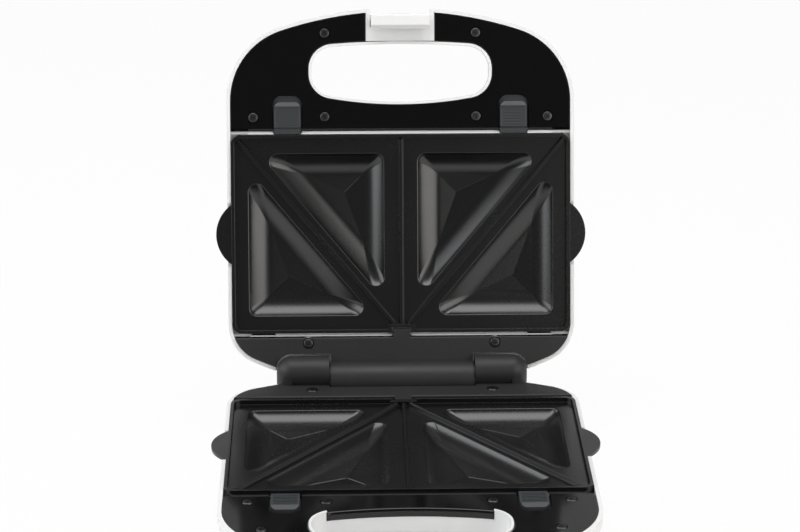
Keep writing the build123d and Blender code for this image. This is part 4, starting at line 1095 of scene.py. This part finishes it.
class Recipe:
    """A Geometry Nodes tree with named sizes.

    Attributes:
        graph: the tree under construction.
        sizes: each size by the name of its input, in millimetres.
    """

    def __init__(self, name: str, sizes: Mapping[str, float]) -> None:
        """Makes the tree and its inputs.

        Args:
            name: the tree's name.
            sizes: each size by the name that its input gets, in millimetres.
        """
        self.sizes = dict(sizes)
        self._tree = bpy.data.node_groups.new(name, "GeometryNodeTree")
        self.graph = Graph(self._tree)
        face = self._tree.interface
        face.new_socket("Places", in_out="INPUT", socket_type="NodeSocketGeometry")
        face.new_socket("Made", in_out="OUTPUT", socket_type="NodeSocketGeometry")
        self._keys = {
            label: face.new_socket(label, in_out="INPUT", socket_type="NodeSocketFloat").identifier
            for label in self.sizes
        }
        self._start = self.graph.add("NodeGroupInput")

    def size(self, label: str) -> Signal:
        """Returns one of the named sizes."""
        return Signal(self.graph, self._start.outputs[label])

    def vector(self, x: Operand = 0.0, y: Operand = 0.0, z: Operand = 0.0) -> NodeSocket:
        """Returns a vector of three numbers."""
        return self.graph.out("ShaderNodeCombineXYZ", {0: x, 1: y, 2: z})

    def moved(self, shape: Any, **sockets: Any) -> NodeSocket:
        """Returns a shape moved, turned or scaled by the sockets of a Transform."""
        return self.graph.out("GeometryNodeTransform", {"Geometry": shape, **sockets})

    def shifted(self, shape: Any, offset: Any, where: Any = True) -> NodeSocket:
        """Returns a shape with an offset added to each of its points where a signal is 1."""
        sockets = {"Geometry": shape, "Selection": where, "Offset": offset}
        return self.graph.out("GeometryNodeSetPosition", sockets)

    def wound(self, radii: tuple[Any, Any], height: Any, turns: Any, steps: int) -> NodeSocket:
        """Winds a helix.

        Args:
            radii: its radius at the bottom and at the top.
            height: how high it rises.
            turns: how many turns it makes.
            steps: segments in a turn.

        Returns:
            The helix as a curve.
        """
        sockets = {"Start Radius": radii[0], "End Radius": radii[1], "Height": height}
        sockets.update({"Rotations": turns, "Resolution": steps})
        return self.graph.out("GeometryNodeCurveSpiral", sockets)

    def bar(self, curve: Any, radius: Any, sides: int) -> NodeSocket:
        """Sweeps a bar along a curve.

        Args:
            curve: the curve.
            radius: the radius of its section.
            sides: the number of sides of that.

        Returns:
            The bar's mesh.
        """
        circle = {"Resolution": sides, "Radius": radius}
        ring = self.graph.out("GeometryNodeCurvePrimitiveCircle", circle)
        sockets = {"Curve": curve, "Profile Curve": ring, "Fill Caps": True}
        return self.graph.out("GeometryNodeCurveToMesh", sockets)

    def spread(self, shape: Any, **sockets: Any) -> NodeSocket:
        """Returns a shape put at each of the points that the tree is given."""
        sockets = {"Points": self._start.outputs["Places"], "Instance": shape, **sockets}
        return self.graph.out("GeometryNodeInstanceOnPoints", sockets)

    def joined(self, *shapes: NodeSocket) -> NodeSocket:
        """Joins several shapes.

        Args:
            shapes: the shapes.

        Returns:
            One shape of them all.
        """
        node = self.graph.add("GeometryNodeJoinGeometry")
        for shape in shapes:
            self.graph.feed(node.inputs[0], shape)
        return node.outputs[0]

    def close(self, made: Any, finish: Finish) -> None:
        """Ends the tree in real geometry with a finish.

        Args:
            made: what the tree has made.
            finish: its finish.
        """
        real = self.graph.out("GeometryNodeRealizeInstances", {"Geometry": made})
        sockets = {"Geometry": real, "Material": finish.material()}
        dressed = self.graph.out("GeometryNodeSetMaterial", sockets)
        self.graph.add("NodeGroupOutput", None, {"Made": dressed})

    def cook(self, places: Sequence[Place], sharp: float) -> Mesh:
        """Runs the tree.

        Args:
            places: the points that it is given.
            sharp: the angle from which an edge shows as a line, in degrees.

        Returns:
            The mesh that the tree makes.
        """
        mesh = bpy.data.meshes.new(self._tree.name)
        mesh.from_pydata(list(places), [], [])
        obj = added(self._tree.name, mesh)
        modifier = obj.modifiers.new("made", "NODES")
        modifier.node_group = self._tree
        for label, key in self._keys.items():
            modifier[key] = self.sizes[label]
        made = evaluated(obj)
        made.set_sharp_from_angle(angle=math.radians(sharp))
        return made


@dataclass(frozen=True)
class CoverScrews:
    """The pan-head screws of one half, with cross recesses and threads.

    Attributes:
        piece: the screws' name and place.
        places: the middle of each screw's seat on the right side, in millimetres.
        head_radius: the radius of the head.
        head_height: its height over the seat.
        edge: the rounding of its top.
        dome: how far its top falls from the middle to the edge.
        recess_width: the width of a slot of the cross.
        recess_span: the length of a slot.
        recess_depth: how deep the cross goes.
        recess_taper: the width and length at the bottom of the cross, as a share.
        shank_radius: the radius at the root of the thread.
        shank_length: from the seat to the tip.
        tip: the radius there, as a share of the shank's.
        thread_height: how far the thread stands out.
        thread_low: the thread's radius at its lower end, as a share of the shank's.
        thread_run: the share of the shank's length that the thread takes.
        thread_end: how far below the seat it ends, as a share of that length.
        turns: how many turns the thread has.
        seed: of how far each screw is turned.
        head_sides: facets round the head.
        head_rings: rings of points in its top.
        shank_sides: facets round the shank.
        thread_steps: segments in a turn of the thread.
        thread_sides: the number of sides of its section.
        sharp: the angle from which an edge shows as a line, in degrees.
    """

    piece: Piece
    places: tuple[Place, ...]
    head_radius: float = 3.2
    head_height: float = 1.8
    edge: float = 0.8
    dome: float = 0.12
    recess_width: float = 0.72
    recess_span: float = 3.7
    recess_depth: float = 1.15
    recess_taper: float = 0.55
    shank_radius: float = 1.2
    shank_length: float = 11.4
    tip: float = 0.7
    thread_height: float = 0.3
    thread_low: float = 0.8
    thread_run: float = 0.9
    thread_end: float = 0.96
    turns: float = 9.0
    seed: int = 7
    head_sides: int = 40
    head_rings: int = 14
    shank_sides: int = 20
    thread_steps: int = 16
    thread_sides: int = 4
    sharp: float = 35.0

    def build(self) -> None:
        """Makes the screws of the half."""
        sizes = sizes_of(
            self, "head_radius", "head_height", "edge", "recess_width", "recess_span",
            "recess_depth", "shank_radius", "shank_length", "thread_height", "turns",
        )  # fmt: skip
        recipe = Recipe(self.piece.name, sizes)
        screw = recipe.joined(self._head(recipe), self._shank(recipe), self._thread(recipe))
        turn = recipe.graph.add(
            "FunctionNodeRandomValue",
            {"data_type": "FLOAT_VECTOR"},
            {0: (0.0, 0.0, 0.0), 1: (0.0, 0.0, math.pi), "Seed": self.seed},
        )
        recipe.close(recipe.spread(screw, Rotation=turn.outputs[0]), self.piece.finish)
        both = [(side.value * x, y, z) for x, y, z in self.places for side in Side]
        self.piece.place(recipe.cook(both, self.sharp))

    def _head(self, recipe: Recipe) -> Any:
        """Makes the head, rounded at its edge, with the cross cut in.

        Args:
            recipe: the screws' tree.

        Returns:
            The head on its seat.
        """
        graph = recipe.graph
        radius, height, edge = (recipe.size(k) for k in ("Head radius", "Head height", "Edge"))
        segments = {"Vertices": self.head_sides, "Fill Segments": self.head_rings}
        blank = graph.out(
            "GeometryNodeMeshCylinder",
            {**segments, "Side Segments": 1, "Radius": radius, "Depth": height},
            fill_type="TRIANGLE_FAN",
        )
        x, y, z = graph.parts(graph.add("GeometryNodeInputPosition").outputs[0])
        out = (x * x + y * y) ** 0.5
        near = (out - (radius - edge)).at_least(0.0) / edge
        drop = (1.0 - (1.0 - near * near).at_least(0.0) ** 0.5) * edge
        fall = (out / radius) ** 2.0 * self.dome
        shaped = recipe.shifted(blank, recipe.vector(z=(drop + fall) * -1.0), z > 0.0)
        seated = recipe.moved(shaped, Translation=recipe.vector(z=height * 0.5))
        cut = graph.add("GeometryNodeMeshBoolean", {"operation": "DIFFERENCE", "solver": "EXACT"})
        graph.feed(cut.inputs["Mesh 1"], seated)
        for quarter in range(2):
            graph.feed(cut.inputs["Mesh 2"], self._slot(recipe, quarter * math.pi / 2))
        return cut.outputs[0]

    def _slot(self, recipe: Recipe, turn: float) -> Any:
        """Makes the solid that cuts one slot of the cross.

        Args:
            recipe: the screws' tree.
            turn: how far the slot is turned, in radians.

        Returns:
            The solid.
        """
        depth = recipe.size("Recess depth")
        slot = self._cone(recipe, 4, 1.0, self.recess_taper, depth * 2.0)
        squared = recipe.moved(slot, Rotation=(0.0, 0.0, math.pi / 4))
        half = math.sqrt(0.5)
        span, width = recipe.size("Recess span"), recipe.size("Recess width")
        sized = recipe.moved(squared, Scale=recipe.vector(span * half, width * half, 1.0))
        low = recipe.vector(z=recipe.size("Head height") - depth)
        return recipe.moved(sized, Translation=low, Rotation=(0.0, 0.0, turn))

    def _shank(self, recipe: Recipe) -> Any:
        """Makes the shank with its blunt tip.

        Args:
            recipe: the screws' tree.

        Returns:
            The shank below the seat.
        """
        length, radius = recipe.size("Shank length"), recipe.size("Shank radius")
        shank = self._cone(recipe, self.shank_sides, radius, radius * self.tip, length)
        return recipe.moved(shank, Translation=recipe.vector(z=length * -1.0))

    @staticmethod
    def _cone(recipe: Recipe, sides: int, top: Any, bottom: Any, height: Any) -> Any:
        """Makes a cut-off cone or pyramid.

        Args:
            recipe: the screws' tree.
            sides: the number of its sides.
            top: its radius at the top.
            bottom: its radius at the bottom.
            height: how high it is.

        Returns:
            The solid, upright about its middle.
        """
        sockets = {"Vertices": sides, "Radius Top": top, "Radius Bottom": bottom, "Depth": height}
        return recipe.graph.out("GeometryNodeMeshCone", sockets, fill_type="NGON")

    def _thread(self, recipe: Recipe) -> Any:
        """Makes the thread, a ridge that winds up the shank.

        Args:
            recipe: the screws' tree.

        Returns:
            The thread round the shank.
        """
        length, radius = recipe.size("Shank length"), recipe.size("Shank radius")
        radii = (radius * self.thread_low, radius)
        height = length * self.thread_run
        helix = recipe.wound(radii, height, recipe.size("Turns"), self.thread_steps)
        ridge = recipe.bar(helix, recipe.size("Thread height"), self.thread_sides)
        return recipe.moved(ridge, Translation=recipe.vector(z=length * -self.thread_end))


@dataclass(frozen=True)
class CoilSpring:
    """A wound spring with closed ends, about a line through its middle.

    Attributes:
        piece: the spring's name and place.
        middle: its middle, in millimetres.
        turn: how its axis is turned from upright, in degrees about X, Y and Z.
        length: its length over the wire's ends.
        radius: the radius of the wire's middle line.
        wire: the radius of the wire.
        coils: how many coils it has.
        closing: how much flatter the end coils lie, from 0 to 1.
        joint: the joint that compresses it, if one does.
        kept: the share of its length that is left then; not used.
        steps: segments in a coil.
        sides: facets round the wire.
        sharp: the angle from which an edge shows as a line, in degrees.
    """

    piece: Piece
    middle: Place
    turn: Triple
    length: float = 9.8
    radius: float = 1.5
    wire: float = 0.35
    coils: float = 7.0
    closing: float = 0.7
    joint: str = ""
    kept: float = 0.64
    steps: int = 24
    sides: int = 10
    sharp: float = 50.0

    def build(self) -> None:
        """Makes the spring."""
        sizes = sizes_of(self, "length", "radius", "wire", "coils", "closing")
        recipe = Recipe(self.piece.name, sizes)
        graph = recipe.graph
        wire, coil = recipe.size("Wire"), recipe.size("Radius")
        run = recipe.size("Length") - wire * 2.0
        helix = recipe.wound((coil, coil), run, recipe.size("Coils"), self.steps)
        along = Signal(graph, graph.add("GeometryNodeSplineParameter").outputs["Factor"])
        wave = graph.maths("SINE", along * (2.0 * math.pi))
        shift = run * recipe.size("Closing") * wave * (-0.5 / math.pi)
        coiled = recipe.bar(recipe.shifted(helix, recipe.vector(z=shift)), wire, self.sides)
        centred = recipe.moved(coiled, Translation=recipe.vector(z=run * -0.5))
        laid = recipe.moved(centred, Rotation=tuple(math.radians(part) for part in self.turn))
        recipe.close(recipe.spread(laid), self.piece.finish)
        piece = self.piece.place(recipe.cook([self.middle], self.sharp))
        if self.joint:
            self._compress(piece)

    def _compress(self, piece: Object) -> None:
        """Gives the spring a mesh of its own.

        Args:
            piece: the spring.
        """
        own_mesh(piece)


@dataclass(frozen=True)
class Fastenings:
    """The screws and springs of both halves.

    Attributes:
        shared: the seats of the screws that both halves have.
        own: those that only one half has.
        spring_at: the middle of the right latch spring.
        clip_spring_at: the middle of the lid latch's spring.
    """

    shared: tuple[Place, ...] = ((97.6, -77.5, -3.3), (50.2, -77.8, -3.3))
    own: Mapping[Half, tuple[Place, ...]] = field(
        default_factory=lambda: {
            Half.BASE: ((88.4, -112.8, -3.3), (59.5, 79.5, -1.3)),
            Half.LID: ((50.0, -133.0, -3.3), (62.2, 72.8, -1.3)),
        }
    )
    spring_at: Place = (75.0, -89.5, -7.7)
    clip_spring_at: Place = (0.0, -141.2, -11.5)

    def build(self) -> None:
        """Makes them all."""
        for half, name in ((Half.BASE, "lower"), (Half.LID, "upper")):
            piece = Piece(f"{half.value}_screws", f"{half.value}_cover_screws", half, SCREW_STEEL)
            CoverScrews(piece, self.shared + self.own[half]).build()
            facing = -1 if half is Half.LID else 1
            x, y, z = self.spring_at
            for side in Side:
                end = side.name.lower()
                node = f"{name}_latch_spring_{end}"
                spring = Piece(f"{name}_spring_{end}", node, half, SPRING_STEEL)
                joint = f"{name}_plate_latch_{end}_slide"
                middle = (side.value * facing * x, y, z)
                CoilSpring(spring, middle, (90.0, 0.0, 0.0), joint=joint).build()
        clip = Piece("clip_spring", "lid_latch_spring", Half.LID, SPRING_STEEL)
        sizes = {"length": 6.0, "radius": 2.55, "coils": 7.25, "closing": 0.0}
        CoilSpring(clip, self.clip_spring_at, (0.0, 90.0, 0.0), **sizes).build()


@dataclass(frozen=True)
class HingeShadeWashers:
    """Thin dark washers on the hinge pin, between the barrel's collars and the knuckles: partly real washers,
    partly painted shade that hides the white casing in the gap there.

    Attributes:
        pin: the Y and Z of the pin's axis in the base's frame, in millimetres.
        place: how far each washer's middle is from the centre line.
        thickness: its thickness.
        bore: the radius of its hole.
        radius: its outer radius.
        segments: facets round it.
        sharp: the angle from which an edge shows as a line, in degrees.
    """

    pin: tuple[float, float] = (96.3, 0.5)
    place: float = 48.35
    thickness: float = 0.22
    bore: float = 2.7
    radius: float = 10.2
    segments: int = 64
    sharp: float = 40.0

    def build(self) -> None:
        """Makes both washers as one piece."""
        work = bmesh.new()
        half = self.thickness / 2
        corners = ((self.bore, -half), (self.radius, -half), (self.radius, half), (self.bore, half))
        turns = [math.tau * step / self.segments for step in range(self.segments)]
        pin_y, pin_z = self.pin
        for side in Side:
            rings = []
            for radius, out in corners:
                x = side.value * self.place + out
                ring = [
                    (x, pin_y + radius * math.cos(turn), pin_z + radius * math.sin(turn))
                    for turn in turns
                ]
                rings.append([work.verts.new(point) for point in ring])
            skin(work, rings, closed=True)
        mesh = baked(work, "washers")
        mesh.transform(FRAMES.matrix(Half.BASE))
        # charcoal rather than steel: painted shade in the thin gap beside the knuckles
        mesh.materials.append(CHARCOAL.material())
        mesh.set_sharp_from_angle(angle=math.radians(self.sharp))
        piece = added("hinge_shade_washers", mesh)
        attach(piece, "hinge_pin")
        log.info("piece hinge_shade_washers: %d faces", len(mesh.polygons))


@dataclass
class Dressing:
    """The nodes of the construction, each in its slot's finish.

    Attributes:
        finishes: the finish of each slot.
    """

    finishes: Mapping[str, Finish] = field(default_factory=lambda: {f.slot: f for f in FINISHES})

    def dress(self) -> None:
        """Dresses every node of the record."""
        for part in frame["record"]["subparts"]:
            dress_node(part["node"], self.finishes[part["material_slot"]])


# ---- studio


@dataclass
class Camera:
    """The camera of the photograph.

    Attributes:
        place: where it stands, in the base half's millimetres.
        pitch: how far it looks down, in degrees.
        yaw: how far it looks to the right.
        roll: how far it leans to the left.
        lens: its focal length on a 36 mm frame, in millimetres.
        far: the farthest that it sees, in metres.
    """

    place: Place = (-42.5, -1398.5, 674.7)
    pitch: float = 21.66
    yaw: float = 1.57
    roll: float = 0.16
    lens: float = 110.54
    far: float = 50.0

    def build(self) -> None:
        """Makes the camera and hands it to the scene."""
        data = bpy.data.cameras.new("camera")
        data.lens = self.lens
        data.clip_end = self.far
        camera = added("camera", data)
        turn = Matrix.Rotation(-math.radians(self.yaw), 4, "Z")
        tilt = Matrix.Rotation(math.radians(90.0 - self.pitch), 4, "X")
        lean = Matrix.Rotation(math.radians(self.roll), 4, "Z")
        place = FRAMES.matrix(Half.BASE) @ Vector(self.place)
        camera.matrix_world = Matrix.Translation(place) @ turn @ tilt @ lean
        bpy.context.scene.camera = camera


@dataclass(frozen=True)
class Softbox:
    """One large soft lamp.

    Attributes:
        name: its name.
        place: its middle, in metres.
        size: its width and height.
        radiance: how bright its face is, where a white wall in full light is 1.
        colour: its colour.
    """

    name: str
    place: Place
    size: tuple[float, float]
    radiance: float
    colour: Colour = (1.0, 1.0, 1.0)

    def build(self, target: Vector) -> None:
        """Makes the lamp.

        Args:
            target: what it is turned towards.
        """
        data = bpy.data.lights.new(self.name, "AREA")
        data.shape = "RECTANGLE"
        data.size, data.size_y = self.size
        data.energy = self.radiance * math.pi * self.size[0] * self.size[1]
        data.color = self.colour
        lamp = added(self.name, data)
        lamp.location = self.place
        lamp.rotation_euler = (target - Vector(self.place)).to_track_quat("-Z", "Y").to_euler()


@dataclass
class Studio:
    """A white sweep, softboxes and a dim room behind the camera.

    Attributes:
        reach: half the floor's side, in metres.
        back: how far behind the toaster the sweep rises.
        bend: the radius of the sweep's bend.
        height: how high it rises.
        room: how bright the room is that the gloss reflects.
        lift: the share of pure white in what the camera sees of the sweep.
        shine: the same in what reflections see of it.
        paper: how light the paper itself is.
        ahead: between which values of the world's Y its reflected wall turns white.
        above: between which values of its Z the wall ends.
        bend_steps: segments in the bend.
        boxes: the lamps.
    """

    reach: float = 6.0
    back: float = 1.6
    bend: float = 0.6
    height: float = 1.4
    room: float = 0.1
    lift: float = 0.95
    shine: float = 0.35
    paper: float = 0.8
    ahead: tuple[float, float] = (0.0, 0.3)
    above: tuple[float, float] = (0.2, 0.5)
    bend_steps: int = 16
    boxes: tuple[Softbox, ...] = (
        Softbox("softbox_left", (-1.35, -0.2, 0.75), (1.9, 1.1), 2.6, (0.96, 0.98, 1.0)),
        Softbox("softbox_right", (1.2, -0.85, 0.65), (1.9, 1.0), 2.5, (1.0, 0.98, 0.95)),
        Softbox("softbox_top", (0.0, -0.1, 1.6), (1.7, 0.9), 3.6),
    )

    def build(self) -> None:
        """Makes the sweep, the lamps and the world, and sets the view transform."""
        self._sweep()
        low, high = CAD_BOX
        for box in self.boxes:
            box.build((low + high) / 2)
        self._world()
        bpy.context.scene.view_settings.view_transform = "Standard"

    def _profile(self) -> Section:
        """Draws the sweep's section.

        Returns:
            Its (y, z) points, from the front to the top.
        """
        points = [(-self.reach, 0.0)]
        for step in range(self.bend_steps + 1):
            turn = math.pi / 2 * step / self.bend_steps
            y = self.back + self.bend * math.sin(turn)
            points.append((y, self.bend * (1.0 - math.cos(turn))))
        return [*points, (self.back + self.bend, self.height)]

    def _sweep(self) -> None:
        """Makes the floor and the backdrop as one sheet of paper."""
        mesh = bpy.data.meshes.new("paper_sweep")
        section = self._profile()
        points = [(x, y, z) for x in (-self.reach, self.reach) for y, z in section]
        count = len(section)
        faces = [(k, k + count, k + count + 1, k + 1) for k in range(count - 1)]
        mesh.from_pydata(points, [], faces)
        mesh.polygons.foreach_set("use_smooth", [True] * len(faces))
        mesh.materials.append(self._paper())
        sweep = added("paper_sweep", mesh)

    def _white_share(self, graph: Graph) -> Signal:
        """Tells the rays that see the paper whiter than it is.

        Args:
            graph: the paper's graph.

        Returns:
            How much of the colour is pure white.
        """
        seen = (graph.ray("Camera") * self.lift).at_least(graph.ray("Transmission") * self.lift)
        return seen.at_least(graph.ray("Glossy") * self.shine)

    def _paper(self) -> Material:
        """Makes matt white paper that shows as white and still takes a shadow.

        Returns:
            The paper's material.
        """
        made, graph = new_material("paper")
        paper = graph.out("ShaderNodeBsdfDiffuse", {"Color": rgba((self.paper,) * 3)})
        white = graph.out("ShaderNodeEmission", {"Strength": 1.0})
        sockets = {0: self._white_share(graph), 1: paper, 2: white}
        graph.end("ShaderNodeOutputMaterial", graph.out("ShaderNodeMixShader", sockets))
        return made

    def _world(self) -> None:
        """Makes a dim room that the camera sees as white."""
        world = bpy.data.worlds.new("studio")
        bpy.context.scene.world = world
        world.use_nodes = True
        graph = Graph(world.node_tree)
        _, y, z = graph.parts(graph.add("ShaderNodeTexCoord").outputs["Generated"])
        ahead, low = graph.ramp(y, *self.ahead), 1.0 - graph.ramp(z, *self.above)
        shown = graph.ray("Camera").at_least(graph.ray("Transmission"))
        share = shown.at_least(graph.ray("Glossy") * ahead * low)
        colour = graph.blend(share, rgba((self.room,) * 3), rgba((1.0, 1.0, 1.0)))
        light = graph.out("ShaderNodeBackground", {"Color": colour, "Strength": 1.0})
        graph.end("ShaderNodeOutputWorld", light)


def main() -> None:
    """Builds the looks in order."""
    logging.basicConfig(level=logging.INFO, format="%(name)s: %(message)s")
    Camera().build()
    Studio().build()
    Dressing().dress()
    BaseCasing(Piece("base_casing", "base_shell", Half.BASE, WHITE_GLOSS)).build()
    CookingPlate(Piece("lower_cooking_plate", "lower_plate", Half.BASE, NONSTICK)).build()
    CookingPlate(Piece("upper_cooking_plate", "upper_plate", Half.LID, NONSTICK)).build()
    Fastenings().build()
    HingeShadeWashers().build()


if __name__ == "__main__":
    main()
